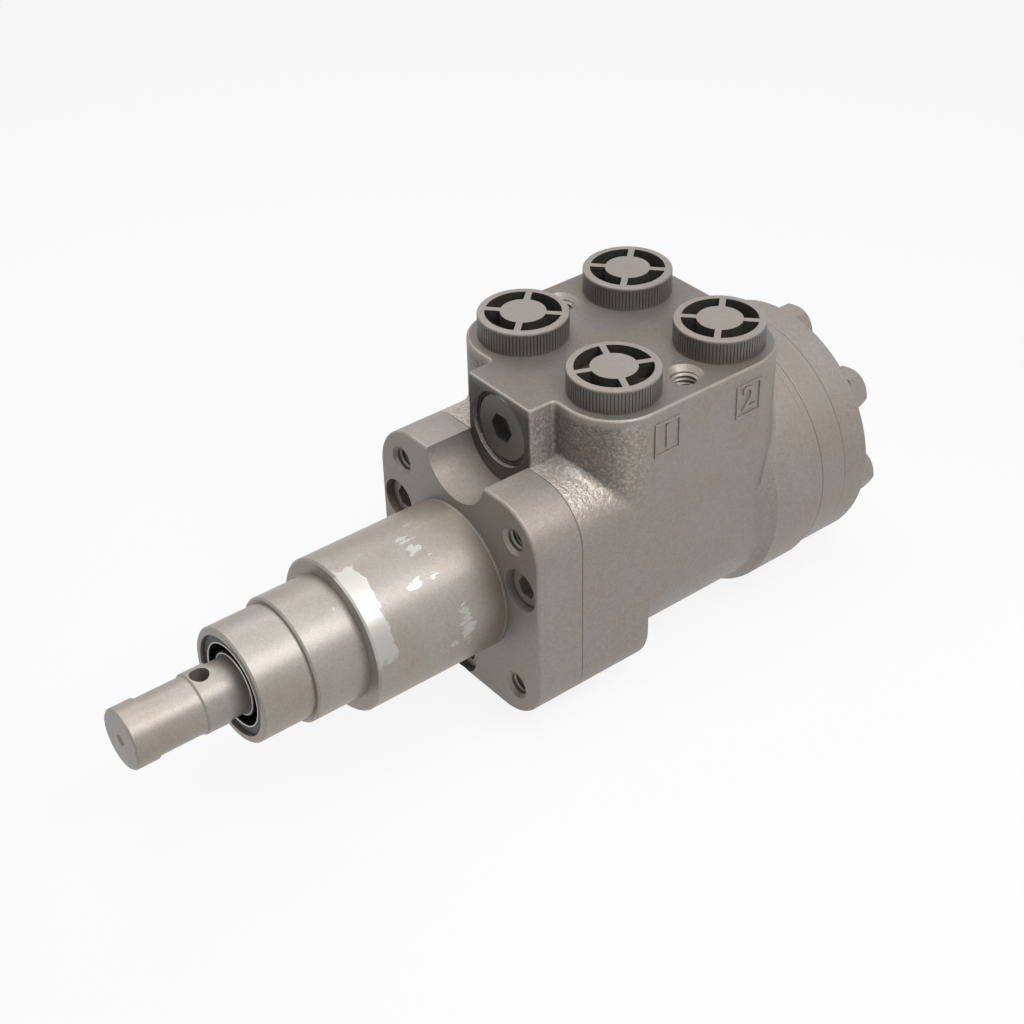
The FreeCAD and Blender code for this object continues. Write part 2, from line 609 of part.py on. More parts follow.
def ball_bearing():
    middle = f"(({BEARING_FRONT} + {BEARING_BACK}) / 2)"
    track = "(ball_radius + turning_gap)"
    outer = ring("bearing_radius - race_height", "bearing_radius - fit_gap",
                 BEARING_FRONT, BEARING_BACK)
    piece("bearing_outer_race", cut(outer, o_ring(BALL_CIRCLE, track, middle)))
    inner = ring("bearing_bore + fit_gap", "bearing_bore + race_height",
                 BEARING_FRONT, BEARING_BACK)
    piece("bearing_inner_race", cut(inner, o_ring(BALL_CIRCLE, track, middle)))
    balls = []
    pockets = []
    for k in range(int(number("ball_count"))):
        angle = f"{k} * 360 / ball_count"
        x, z = polar(BALL_CIRCLE, angle)
        ball = doc.addObject("Part::Sphere", "Ball")
        bind(ball, Radius="ball_radius")
        balls.append(place(ball, x, middle, z))
        x, z = polar("bearing_bore", angle)
        pockets.append(spoke("ball_radius + fit_gap", "bearing_radius - bearing_bore", angle, x, middle, z))
    piece("bearing_balls", group(*balls))
    cage = ring(f"{BALL_CIRCLE} - cage_height / 2", f"{BALL_CIRCLE} + cage_height / 2",
                f"{middle} - cage_width / 2", f"{middle} + cage_width / 2")
    piece("bearing_cage", cut(cage, *pockets))


def input_shaft():
    clip_groove = "(bearing_bore - clip_depth)"
    clip_back = f"({BEARING_BACK} + clip_width + face_gap)"
    blank = turned([
        (TIP, "0"),
        (TIP, "collar_radius - edge_break"),
        (f"{TIP} + edge_break", "collar_radius"),
        (f"{TIP} + collar_length", "collar_radius"),
        (f"{TIP} + collar_length", "neck_radius"),
        (BAND_START, "neck_radius"),
        (f"{BAND_START} + edge_break", "collar_radius"),
        (BAND_END, "collar_radius"),
        (BAND_END, "neck_radius"),
        (BEARING_FRONT, "neck_radius"),
        (BEARING_FRONT, "bearing_bore"),
        (BEARING_BACK, "bearing_bore"),
        (BEARING_BACK, clip_groove),
        (clip_back, clip_groove),
        (clip_back, "bearing_bore"),
        ("spline_start - 2 * edge_break", "bearing_bore"),
        ("spline_start - 2 * edge_break", "spline_root"),
        ("spline_start + spline_length", "spline_root"),
        ("spline_start + spline_length", "0"),
    ])
    teeth = shaped("ShaftSpline", toothed(
        int(number("spline_teeth")), number("spline_root"), number("spline_crest"),
        number("spline_start"), number("spline_start + spline_length")))
    drill = cone("centre_drill_radius", "0.6", f"{TIP} - 0.1", f"{TIP} + 1.5 * centre_drill_radius")
    hole = post("cross_hole_radius", "-collar_radius - 1", "collar_radius + 1", y=BAND_MIDDLE)
    piece("input_shaft", cut(fused(blank, teeth), drill, hole))
    outer_edge = f"({clip_groove} + clip_height)"
    clip = ring(f"{clip_groove} + fit_gap", outer_edge, f"{BEARING_BACK} + face_gap", clip_back)
    gap = block(("-clip_opening / 2", "clip_opening / 2"),
                (f"{BEARING_BACK} - 1", f"{clip_back} + 1"), (f"-{outer_edge} - 1", "0"))
    piece("shaft_retaining_ring", cut(clip, gap))


def flange_screw_places():
    """Two screws beside the column and one below it."""
    upper = [polar("screw_circle", "screw_angle"), polar("screw_circle", "180 - screw_angle")]
    return upper + [("0", "-lower_screw_drop")]


def mount_places():
    half = "mount_pitch / 2"
    return [(f"{a} * {half}", f"{b} * {half}") for a in (-1, 1) for b in (-1, 1)]


def column_flange():
    tools = [turned([
        ("-1", "0"),
        ("-1", "barrel_radius + fit_gap"),
        ("0", "barrel_radius + fit_gap"),
        ("barrel_seat", "spigot_radius + fit_gap"),
        ("spigot_length", "spigot_radius + fit_gap"),
        ("spigot_length", "neck_seal_radius"),
        ("spigot_length + neck_seal_length + fit_gap", "neck_seal_radius"),
        ("spigot_length + neck_seal_length + fit_gap", "neck_hole"),
        ("flange_thickness + 1", "neck_hole"),
        ("flange_thickness + 1", "0"),
    ])]
    tools.append(rod("notch_radius", "-1", "flange_thickness + 1", z="notch_height"))
    for x, z in mount_places():
        rim_depth = "(mount_rim_radius - mount_hole_radius)"
        tools.append(rod("mount_hole_radius", "-1", "mount_hole_depth", x, z))
        tools.append(cone("mount_rim_radius + 0.5", "mount_hole_radius", "-0.5", rim_depth, x, z))
    for x, z in flange_screw_places():
        tools.append(rod("screw_radius + fit_gap", "-1", "flange_thickness + 1", x, z))
        tools.append(rod("counterbore_radius", "-1", "screw_inset + screw_head_height", x, z))
    piece("column_flange", cut(rounded_square("0", "flange_thickness", "flange_edge"), *tools))


def flange_screws():
    head_end = "(screw_inset + screw_head_height)"
    screws = []
    for x, z in flange_screw_places():
        shape = turned([
            ("screw_inset", "0"),
            ("screw_inset", "screw_head_radius - edge_break"),
            ("screw_inset + edge_break", "screw_head_radius"),
            (head_end, "screw_head_radius"),
            (head_end, "screw_radius"),
            ("flange_thickness + screw_reach", "screw_radius"),
            ("flange_thickness + screw_reach", "0"),
        ], x, z)
        socket = hexagon("screw_key", "screw_inset - 1", "screw_inset + screw_key_depth", x, z)
        screws.append(cut(shape, socket))
    piece("flange_screws", group(*screws))


def neck_seal():
    """The pressure seal between the flange and the spool's neck."""
    lip = "(spool_neck_radius + turning_gap)"
    outer = "(neck_seal_radius - fit_gap)"
    back = "(spigot_length + neck_seal_length)"
    piece("neck_seal", turned([
        ("spigot_length", f"{outer} - neck_seal_wall"),
        ("spigot_length", outer),
        (back, outer),
        (back, lip),
        (f"{back} - neck_seal_lip_length", lip),
        (f"{back} - neck_seal_lip_length", f"{lip} + neck_seal_lip"),
        (f"{back} - neck_seal_web", f"{lip} + neck_seal_lip"),
        (f"{back} - neck_seal_web", f"{outer} - neck_seal_wall"),
    ]))


def filleted(base, *choices):
    """Rounds edges of a finished form; each choice is a size and a test for its edges."""
    doc.recompute()
    result = doc.addObject("Part::Fillet", "Rounded")
    result.Base = base
    edges = []
    for size, wanted in choices:
        radius = number(size)
        edges += [(i, radius, radius) for i, edge in enumerate(base.Shape.Edges, start=1)
                  if wanted(edge)]
    result.Edges = edges
    return result


def port_block():
    """The upper block, its corners round about the ports."""
    form = block((f"-{BODY_SIDE}", BODY_SIDE), (BLOCK_FRONT, BLOCK_BACK), ("0", "port_face"))
    upward = FreeCAD.Vector(0, 0, 1)
    return filleted(form, (LOBE_RADIUS, lambda edge: along(edge, upward)))


def relief_boss():
    form = block(("-boss_half_width", "boss_half_width"), ("flange_thickness", "port_front"),
                 ("0", "port_face"))
    upward = FreeCAD.Vector(0, 0, 1)
    front = number("flange_thickness")
    return filleted(form, ("boss_corner", lambda edge: along(edge, upward)
                           and edge.BoundBox.YMax < front + 1e-6))


def round_body():
    """The round rear of the casting with flats at its sides, and its rear rim."""
    front = "(flange_thickness + front_block_length)"
    tall = "(body_radius + 1)"
    belly = doc.addObject("Part::Common", "Belly")
    belly.Base = rod("body_radius", f"{front} - 1", HOUSING_BACK)
    belly.Tool = block((f"-{BODY_SIDE}", BODY_SIDE), (f"{front} - 1", HOUSING_BACK), (f"-{tall}", tall))
    rim_front = f"({HOUSING_BACK} - rim_length)"
    rim = turned([
        (rim_front, "0"),
        (rim_front, f"{BODY_SIDE} - 1"),
        (f"{rim_front} + rim_blend", "rim_radius"),
        (f"{HOUSING_BACK} - edge_break", "rim_radius"),
        (HOUSING_BACK, "rim_radius - edge_break"),
        (HOUSING_BACK, "0"),
    ])
    return fused(belly, rim)


def foot_of_block(edge):
    """Where the front wall of the port block stands on the square front."""
    box = edge.BoundBox
    half = number("flange_width / 2")
    return (box.XLength > 0.5 and box.YMin > number(BLOCK_FRONT) - 0.1
            and box.YMax < number("port_front") and half - number("flange_corner") - 0.1 < box.ZMin
            and box.ZMax < half + 0.1)


def back_of_block(edge):
    """Where the rear wall of the port block meets the rear rim."""
    box = edge.BoundBox
    return (box.YMin > number(PORT_REAR) + 1 and number(BODY_SIDE) / 2 < box.ZMin
            and box.YMax < number(BLOCK_BACK) + 0.1 and box.ZMax < number("rim_radius") + 0.1)


def boss_groove(edge):
    """The upright grooves between the relief boss and the port block."""
    box = edge.BoundBox
    return (along(edge, FreeCAD.Vector(0, 0, 1)) and abs(box.YMin - number(BLOCK_FRONT)) < 0.1
            and abs(abs(box.XMin) - number("boss_half_width")) < 0.1)


def top_edge(edge):
    return edge.BoundBox.ZMin > number("port_face") - 0.1


def housing_casting():
    """The outer form of the casting, before it is bored."""
    form = fused(rounded_square("flange_thickness", "front_block_length"), round_body(),
                 port_block(), relief_boss())
    form.Refine = True
    blended = filleted(form, ("cast_blend", foot_of_block), ("cast_blend", back_of_block),
                       ("groove_blend", boss_groove))
    return filleted(blended, ("cast_edge", top_edge))


def housing_bores():
    """All that is machined out of the casting."""
    ring_back = f"({SPRING_RING_FRONT} + spring_ring_width + 2 * face_gap)"
    ring_front = f"({SPRING_RING_FRONT} - 2 * face_gap)"
    ring_bore = f"({SPRING_RING_RADIUS} + turning_gap)"
    pocket_back = f"({SLEEVE_FRONT} + 2 * face_gap)"
    tools = [turned([
        ("flange_thickness - 1", "0"),
        ("flange_thickness - 1", "thrust_pocket_radius"),
        (pocket_back, "thrust_pocket_radius"),
        (pocket_back, MAIN_BORE),
        (ring_front, MAIN_BORE),
        (ring_front, ring_bore),
        (ring_back, ring_bore),
        (ring_back, MAIN_BORE),
        (f"{HOUSING_BACK} + 1", MAIN_BORE),
        (f"{HOUSING_BACK} + 1", "0"),
    ])]
    tools.append(seal_groove("flange_seal_circle", "flange_thickness"))
    for x, z in flange_screw_places():
        tools.append(rod("screw_radius + fit_gap", "flange_thickness - 1",
                         "flange_thickness + screw_reach + 2", x, z))
    for x, z in bolt_places():
        tools.append(rod("screw_radius + fit_gap", f"{HOUSING_BACK} - bolt_reach - 2",
                         f"{HOUSING_BACK} + 1", x, z))
    return tools + port_bores() + relief_bores()


def port_bores():
    tools = []
    for side in (-1, 1):
        for station in ("port_front", PORT_REAR):
            x = f"{side} * {PORT_SIDE}"
            tools.append(post("port_radius", PORT_FLOOR, "port_face + 1", x, station))
            if (side, station) != (1, PORT_REAR):
                tools.append(post("passage_radius", PASSAGE_FLOOR, f"{PORT_FLOOR} + 1",
                                  f"{side} * passage_offset", station))
        x = f"{side} * top_hole_spacing / 2"
        middle = f"(port_front + {PORT_REAR}) / 2"
        tools.append(post("top_hole_radius", "port_face - top_hole_depth", "port_face + 1", x, middle))
        rim = doc.addObject("Part::Cone", "Countersink")
        bind(rim, Radius1="top_hole_radius", Radius2="top_hole_rim + 0.5",
             Height="top_hole_rim - top_hole_radius + 0.5")
        tools.append(place(rim, x, middle, "port_face - (top_hole_rim - top_hole_radius)"))
    tools.append(post("check_chamber_radius", CHECK_FLOOR, f"{PORT_FLOOR} + 1", "check_offset", PORT_REAR))
    tools.append(post("check_seat_radius", PASSAGE_FLOOR, f"{CHECK_FLOOR} + 1",
                      "check_offset", PORT_REAR))
    return tools


def relief_bores():
    drill = "relief_seat_hole"
    height = "relief_height"
    port_wall = f"({PORT_SIDE} - port_radius + 2)"
    return [
        rod("plug_spot_radius", "flange_thickness - 1", PLUG_SHOULDER, z=height),
        rod("plug_radius + fit_gap", f"{PLUG_SHOULDER} - 1", f"{PLUG_END} + 1", z=height),
        rod("chamber_radius", f"{PLUG_END} - 1", CHAMBER_END, z=height),
        rod(drill, f"{CHAMBER_END} - 1", PORT_REAR, z=height),
        bar(drill, "0", port_wall, PORT_REAR, height),
        bar(drill, "0", port_wall, "port_front", height),
    ]


def housing():
    casting = housing_casting()
    piece("housing", cut(casting, *housing_bores()))


def flange_ring_seal():
    piece("flange_o_ring", seal_in_groove("flange_seal_circle", "flange_thickness"))


def thrust_bearing():
    outer = "(thrust_pocket_radius - 2 * turning_gap)"
    piece("front_thrust_race", ring("thrust_bore", "thrust_pocket_radius - fit_gap",
                                    "flange_thickness", "flange_thickness + race_thickness"))
    piece("rear_thrust_race", ring("thrust_bore", outer, REAR_RACE_FRONT,
                                   f"{REAR_RACE_FRONT} + race_thickness"))
    middle = f"({NEEDLE_FRONT} + needle_radius)"
    cage = ring("needle_circle - needle_length / 2 - 1", "needle_circle + needle_length / 2 + 1",
                f"{middle} - thrust_cage_thickness / 2", f"{middle} + thrust_cage_thickness / 2")
    needles = []
    windows = []
    for k in range(int(number("needle_count"))):
        angle = f"{k} * 360 / needle_count"
        for spare, kept in (("0", needles), ("fit_gap", windows)):
            x, z = polar(f"(needle_circle - needle_length / 2 - {spare})", angle)
            kept.append(spoke(f"needle_radius + {spare}", f"needle_length + 2 * {spare}", angle,
                              x, middle, z))
    piece("thrust_needles", group(*needles))
    piece("thrust_cage", cut(cage, *windows))


def spring_slot(reach):
    """The slot right through spool or sleeve that holds the centring springs."""
    return block((f"-({reach})", reach),
                 (f"{SPRING_FRONT} - fit_gap", f"{SPRING_FRONT} + spring_width + fit_gap"),
                 ("-spring_slot_height / 2", "spring_slot_height / 2"))


def spool():
    blank = turned([
        (NECK_FRONT, "0"),
        (NECK_FRONT, "spool_neck_radius"),
        (SPOOL_FRONT, "spool_neck_radius"),
        (SPOOL_FRONT, "spool_radius"),
        (SPOOL_BACK, "spool_radius"),
        (SPOOL_BACK, "spool_bore"),
        ("pin_station - fork_radius - fork_end_gap", "spool_bore"),
        ("pin_station - fork_radius - fork_end_gap", "0"),
    ])
    socket = shaped("SpoolSocket", toothed(
        int(number("spline_teeth")), number("spline_root"), number("spline_crest"),
        number(NECK_FRONT) - 1, number("spline_start + spline_length") + 1, number("turning_gap")))
    reach = "spool_radius + 1"
    tools = [
        socket,
        bar("pin_free_radius", f"-({reach})", reach, "pin_station"),
        spring_slot(reach),
    ]
    slot_front = f"({SPOOL_BACK} - 1.8 * spool_slot_length)"
    for k in range(6):
        slot = block(("-spool_slot_width / 2", "spool_slot_width / 2"),
                     (slot_front, f"{slot_front} + spool_slot_length"),
                     ("spool_radius - spool_slot_depth", "spool_radius + 1"))
        turn = FreeCAD.Rotation(FreeCAD.Vector(0, 1, 0), 30 + 60 * k)
        corner = turn.multVec(slot.Placement.Base)
        slot.Placement = FreeCAD.Placement(corner, turn)
        tools.append(slot)
    piece("spool", cut(blank, *tools))


def sleeve():
    outline = [(SLEEVE_FRONT, SLEEVE_BORE), (SLEEVE_FRONT, "sleeve_radius")]
    floor = "sleeve_radius - sleeve_groove_depth"
    for k in range(int(number("sleeve_groove_count"))):
        start = f"(sleeve_groove_start + {k} * sleeve_groove_pitch)"
        end = f"({start} + sleeve_groove_width)"
        outline += [(start, "sleeve_radius"), (start, floor), (end, floor), (end, "sleeve_radius")]
    outline += [(SLEEVE_BACK, "sleeve_radius"), (SLEEVE_BACK, SLEEVE_BORE)]
    reach = "sleeve_radius + 1"
    tools = [
        bar("pin_radius + fit_gap", f"-({reach})", reach, "pin_station"),
        spring_slot(reach),
    ]
    piece("sleeve", cut(turned(outline), *tools))
    piece("cross_pin", bar("pin_radius", "-pin_reach", "pin_reach", "pin_station"))
    piece("spring_ring", ring("sleeve_radius + fit_gap", SPRING_RING_RADIUS, SPRING_RING_FRONT,
                              f"{SPRING_RING_FRONT} + spring_ring_width"))


def centring_springs():
    """Bowed leaves that lie back to back in the slots of spool and sleeve."""
    half = number("sleeve_radius") - 0.3
    tall = number("spring_slot_height / 2") - 0.1
    thick = number("leaf_thickness")
    front = number(SPRING_FRONT)
    width = number("spring_width")
    leaves = []
    for side in (-1, 1):
        for layer in (0, 1):
            end_top = tall - layer * thick
            middle_top = tall / 2 - layer * thick
            def at(x, z):
                return FreeCAD.Vector(x, front, side * z)
            outer = Part.Arc(at(-half, end_top), at(0, middle_top), at(half, end_top))
            inner = Part.Arc(at(-half, end_top - thick), at(0, middle_top - thick), at(half, end_top - thick))
            wire = Part.Wire(Part.__sortEdges__([
                outer.toShape(), Part.makeLine(at(half, end_top), at(half, end_top - thick)),
                inner.toShape(), Part.makeLine(at(-half, end_top - thick), at(-half, end_top))]))
            leaves.append(Part.Face(wire).extrude(FreeCAD.Vector(0, width, 0)))
    piece("centring_springs", shaped("CentringSprings", Part.makeCompound(leaves)))


def through_holes(start, end):
    """The bolt holes of a disc of the rear stack."""
    return [rod("screw_radius + fit_gap", f"({start}) - 1", f"({end}) + 1", x, z) for x, z in bolt_places()]


def distributor_plate():
    tools = through_holes(HOUSING_BACK, PLATE_BACK)
    tools.append(rod("plate_bore", f"{HOUSING_BACK} - 1", f"{PLATE_BACK} + 1"))
    tools.append(seal_groove("gear_seal_circle", HOUSING_BACK))
    for k in range(int(number("bolt_count"))):
        x, z = polar("plate_port_circle", f"90 - ({k} + 0.5) * 360 / bolt_count")
        tools.append(rod("plate_port_radius", f"{HOUSING_BACK} - 1", f"{PLATE_BACK} + 1", x, z))
    blank = rod("disc_radius", HOUSING_BACK, PLATE_BACK)
    piece("distributor_plate", cut(blank, *tools))
    piece("plate_o_ring", seal_in_groove("gear_seal_circle", HOUSING_BACK))


def gear_ring():
    """The fixed ring of the gear set, with round lobes that point inwards."""
    cavity = "(lobe_circle + 2 * eccentricity - gear_lobe_radius + gear_gap)"
    blank = ring(cavity, "disc_radius", PLATE_BACK, GEAR_BACK)
    lobes = []
    for k in range(int(number("bolt_count"))):
        x, z = polar("lobe_circle", f"90 - {k} * 360 / bolt_count")
        lobes.append(rod("gear_lobe_radius", PLATE_BACK, GEAR_BACK, x, z))
    piece("gear_ring", cut(fused(blank, *lobes), *through_holes(PLATE_BACK, GEAR_BACK)))


def rotor():
    """The rotor that rolls in the gear ring, one lobe fewer than the ring.

    Its outline is the path of a ring lobe's centre seen from the rotor, moved
    inwards by the lobe's radius and the running gap.
    """
    lobes = int(number("bolt_count"))
    circle = number("lobe_circle")
    offset = number("eccentricity")
    inwards = number("gear_lobe_radius + gear_gap")
    front = number(f"{PLATE_BACK} + face_gap")
    thick = number("gear_thickness - 2 * face_gap")
    points = []
    steps = 14 * (lobes - 1)
    for step in range(steps):
        turn = 2 * math.pi * step / steps
        up = circle * math.cos(turn) - offset * math.cos(lobes * turn)
        across = circle * math.sin(turn) - offset * math.sin(lobes * turn)
        up_slope = -circle * math.sin(turn) + lobes * offset * math.sin(lobes * turn)
        across_slope = circle * math.cos(turn) - lobes * offset * math.cos(lobes * turn)
        speed = math.hypot(up_slope, across_slope)
        points.append(FreeCAD.Vector(across + inwards * up_slope / speed, front,
                                     up - inwards * across_slope / speed + offset))
    curve = Part.BSplineCurve()
    curve.interpolate(points, PeriodicFlag=True)
    blank = Part.Face(Part.Wire([curve.toShape()])).extrude(FreeCAD.Vector(0, thick, 0))
    socket = toothed(int(number("gear_teeth")), number("gear_spline_root"), number("gear_spline_crest"),
                     front - 1, front + thick + 1, number("gear_spline_gap"))
    socket.translate(FreeCAD.Vector(0, 0, offset))
    piece("rotor", shaped("Rotor", blank.cut(socket)))


def drive_shaft():
    """The shaft between the cross pin and the rotor, tilted to the rotor's centre."""
    head_front = f"({PLATE_BACK} + 1)"
    fork_front = "(pin_station - fork_radius)"
    fork_back = f"({fork_front} + fork_length)"
    blank = turned([
        (fork_front, "0"),
        (fork_front, "fork_radius - edge_break"),
        (f"{fork_front} + edge_break", "fork_radius"),
        (fork_back, "fork_radius"),
        (f"{fork_back} + 3", "drive_radius"),
        (f"{head_front} - 2", "drive_radius"),
        (f"{head_front} + 1", "gear_spline_root"),
        (f"{head_front} + drive_head_length", "gear_spline_root"),
        (f"{head_front} + drive_head_length", "0"),
    ])
    teeth = shaped("DriveSpline", toothed(
        int(number("gear_teeth")), number("gear_spline_root"), number("gear_spline_crest"),
        number(head_front), number(f"{head_front} + drive_head_length")))
    slot_half = "(pin_radius + fork_gap)"
    slot = block(("-fork_radius - 1", "fork_radius + 1"), (f"{fork_front} - 1", f"pin_station + {slot_half}"),
                 (f"-{slot_half}", slot_half))
    straight = cut(fused(blank, teeth), slot)
    doc.recompute()
    tilted = straight.Shape.copy()
    pivot = FreeCAD.Vector(0, number("pin_station"), 0)
    tilt = math.degrees(math.atan2(number("eccentricity"), number(f"{GEAR_MIDDLE} - pin_station")))
    tilted.rotate(pivot, FreeCAD.Vector(1, 0, 0), tilt)
    piece("drive_shaft", shaped("DriveShaft", tilted))


def drive_spacer():
    back = f"({GEAR_BACK} - face_gap)"
    piece("drive_spacer", rod("spacer_radius", f"{back} - spacer_thickness", back, z="eccentricity"))


def end_cap():
    blank = turned([
        (GEAR_BACK, "0"),
        (GEAR_BACK, "disc_radius"),
        (CAP_BACK, "disc_radius"),
        (CAP_BACK, "0"),
    ])
    doc.recompute()
    tip = blank.Tip
    back = number(CAP_BACK)
    edge = blank.newObject("PartDesign::Fillet", "RearEdge")
    edge.Base = (tip, edge_names(tip.Shape, lambda item: item.BoundBox.YMin > back - 1e-6))
    bind(edge, Radius="cap_edge")
    blank.Tip = edge
    tools = through_holes(GEAR_BACK, CAP_BACK)
    tools.append(seal_groove("gear_seal_circle", GEAR_BACK))
    piece("end_cap", cut(blank, *tools))
    piece("end_cap_o_ring", seal_in_groove("gear_seal_circle", GEAR_BACK))


def end_cap_bolts():
    head = f"({CAP_BACK} + washer_thickness)"
    bolts = []
    washers = []
    for x, z in bolt_places():
        shank = rod("screw_radius", f"{HOUSING_BACK} - bolt_reach", f"{head} + 1", x, z)
        hexed = hexagon("bolt_key", head, f"{head} + bolt_head_height", x, z)
        crown = cone("bolt_key / sqrt(3) + bolt_head_height - 1", "bolt_key / 2 - 0.4", head,
                     f"{head} + bolt_head_height", x, z)
        topped = doc.addObject("Part::Common", "Chamfered")
        topped.Base = hexed
        topped.Tool = crown
        bolts.append(fused(shank, topped))
        washers.append(ring("screw_radius + fit_gap", "washer_radius", CAP_BACK, head, x, z))
    piece("end_cap_bolts", group(*bolts))
    piece("end_cap_washers", group(*washers))


def relief_valve():
    height = "relief_height"
    spring_bore = "(relief_spring_radius + relief_wire)"
    blank = turned([
        (PLUG_FACE, "0"),
        (PLUG_FACE, "plug_head_radius - edge_break"),
        (f"{PLUG_FACE} + edge_break", "plug_head_radius"),
        (f"{PLUG_FACE} + plug_rim_length", "plug_head_radius"),
        (f"{PLUG_FACE} + plug_rim_length + plug_undercut", "plug_head_radius - plug_undercut"),
        (PLUG_SHOULDER, "plug_head_radius - plug_undercut"),
        (PLUG_SHOULDER, "plug_radius"),
        (PLUG_END, "plug_radius"),
        (PLUG_END, spring_bore),
        (SPRING_SEAT, spring_bore),
        (SPRING_SEAT, "0"),
    ], z=height)
    socket = hexagon("plug_key", f"{PLUG_FACE} - 1", f"{PLUG_FACE} + plug_key_depth", z=height)
    piece("relief_plug", cut(blank, socket))
    piece("relief_plug_seal", o_ring("plug_head_radius + plug_seal_section + fit_gap", "plug_seal_section",
                                     f"{PLUG_FACE} + plug_seal_section", z=height))
    relief_spring()
    guide_back = f"({POPPET_FRONT} + poppet_guide_length)"
    cone_end = f"({RELIEF_SEAT_FACE} + poppet_entry)"
    cone_start = f"({cone_end} - poppet_cone_length)"
    piece("relief_poppet", turned([
        (POPPET_FRONT, "0"),
        (POPPET_FRONT, "chamber_radius - 2 * turning_gap"),
        (guide_back, "chamber_radius - 2 * turning_gap"),
        (guide_back, "poppet_cone_radius"),
        (cone_start, "poppet_cone_radius"),
        (cone_end, "relief_seat_hole / 2"),
        (cone_end, "0"),
    ], z=height))
    piece("relief_seat", ring("relief_seat_hole", "chamber_radius - fit_gap", RELIEF_SEAT_FACE,
                              CHAMBER_END, z=height))


def relief_spring():
    turns = number("relief_turns")
    length = number("relief_spring_length")
    wire = number("relief_wire")
    mean = number("relief_spring_radius")
    run = length - wire
    helix = Part.makeHelix(run / turns, run, mean)
    half = wire / 2
    corners = [FreeCAD.Vector(mean + a * half, 0, b * half) for a, b in ((-1, -1), (1, -1), (1, 1), (-1, 1))]
    section = Part.makePolygon(corners + corners[:1])
    coil = Part.Wire(helix.Edges).makePipeShell([section], True, True)
    coil.Placement = FreeCAD.Placement(
        FreeCAD.Vector(0, number(SPRING_SEAT) + half, number("relief_height")), ALONG_Y)
    piece("relief_spring", shaped("ReliefSpring", coil))


def check_valve():
    ball = doc.addObject("Part::Sphere", "CheckBall")
    bind(ball, Radius="check_ball_radius")
    rest = "sqrt(check_ball_radius ^ 2 - check_seat_radius ^ 2) + fit_gap"
    piece("check_ball", place(ball, "check_offset", PORT_REAR, f"{CHECK_FLOOR} + {rest}"))
    piece("check_ball_stop", turned_upright([
        ("check_seat_radius", f"{PORT_FLOOR} - check_stop_height"),
        ("check_chamber_radius - fit_gap", f"{PORT_FLOOR} - check_stop_height"),
        ("check_chamber_radius - fit_gap", PORT_FLOOR),
        ("check_seat_radius", PORT_FLOOR),
    ], "check_offset", PORT_REAR))


def rib_band(radius, rib, count, bottom, top):
    """A disc with pointed ribs round its edge, about the Z axis."""
    outline = []
    for step in range(2 * count):
        reach = radius if step % 2 else radius - rib
        angle = math.pi * step / count
        outline.append(FreeCAD.Vector(reach * math.cos(angle), reach * math.sin(angle), bottom))
    return Part.Face(Part.makePolygon(outline + outline[:1])).extrude(FreeCAD.Vector(0, 0, top - bottom))


def port_cap(label, x, y, turn):
    """A plastic plug with a ribbed rim and four windows round a middle disc."""
    core = number("cap_radius - cap_rib_height")
    spigot = number("cap_spigot_radius")
    base = number("port_face")
    top = number("port_face + cap_height")
    edge = number("edge_break")
    profile_points = [(0, -number("cap_spigot_length")), (spigot - edge, -number("cap_spigot_length")),
                      (spigot, edge - number("cap_spigot_length")), (spigot, 0), (core, 0),
                      (core, top - base - edge), (core - edge, top - base), (0, top - base)]
    corners = [FreeCAD.Vector(a, 0, base + b) for a, b in profile_points]
    upward = FreeCAD.Vector(0, 0, 1)
    plain = Part.Face(Part.makePolygon(corners + corners[:1])).revolve(FreeCAD.Vector(), upward, 360)
    ribs = rib_band(number("cap_radius"), number("cap_rib_height"), int(number("cap_rib_count")),
                    base + edge, top - 2 * edge)
    depth = number("cap_window_depth")
    lowest = FreeCAD.Vector(0, 0, top - depth)
    windows = Part.makeCylinder(number("cap_window_radius"), depth + 1, lowest, upward)
    windows = windows.cut(Part.makeCylinder(number("cap_disc_radius"), depth + 1, lowest, upward))
    width = number("cap_spoke_width")
    reach = 2 * core
    for long_x, long_y in ((reach, width), (width, reach)):
        spoke = Part.makeBox(long_x, long_y, depth + 1, lowest - FreeCAD.Vector(long_x / 2, long_y / 2, 0))
        windows = windows.cut(spoke)
    shape = plain.fuse(ribs).cut(windows)
    cap = piece(label, shaped("PortCap", shape))
    cap.Placement = FreeCAD.Placement(FreeCAD.Vector(number(x), number(y), 0),
                                      FreeCAD.Rotation(upward, number(turn)))


def port_caps():
    port_cap("port_cap_tank", PORT_SIDE, "port_front", "tank_cap_turn")
    port_cap("port_cap_pressure", PORT_SIDE, PORT_REAR, "cap_turn")
    port_cap("port_cap_left", f"-{PORT_SIDE}", "port_front", "cap_turn")
    port_cap("port_cap_right", f"-{PORT_SIDE}", PORT_REAR, "cap_turn")


def check(items):
    """Stops with a plain message where an object failed or a solid is not sound."""
    for item in doc.Objects:
        if {"Invalid", "Error"} & set(item.State):
            raise RuntimeError(f"{item.Label} ({item.Name}) failed: {item.State}")
    for item in items:
        if item.Shape.isNull() or not item.Shape.isValid() or not item.Shape.Solids:
            raise RuntimeError(f"{item.Label} has no sound solid")


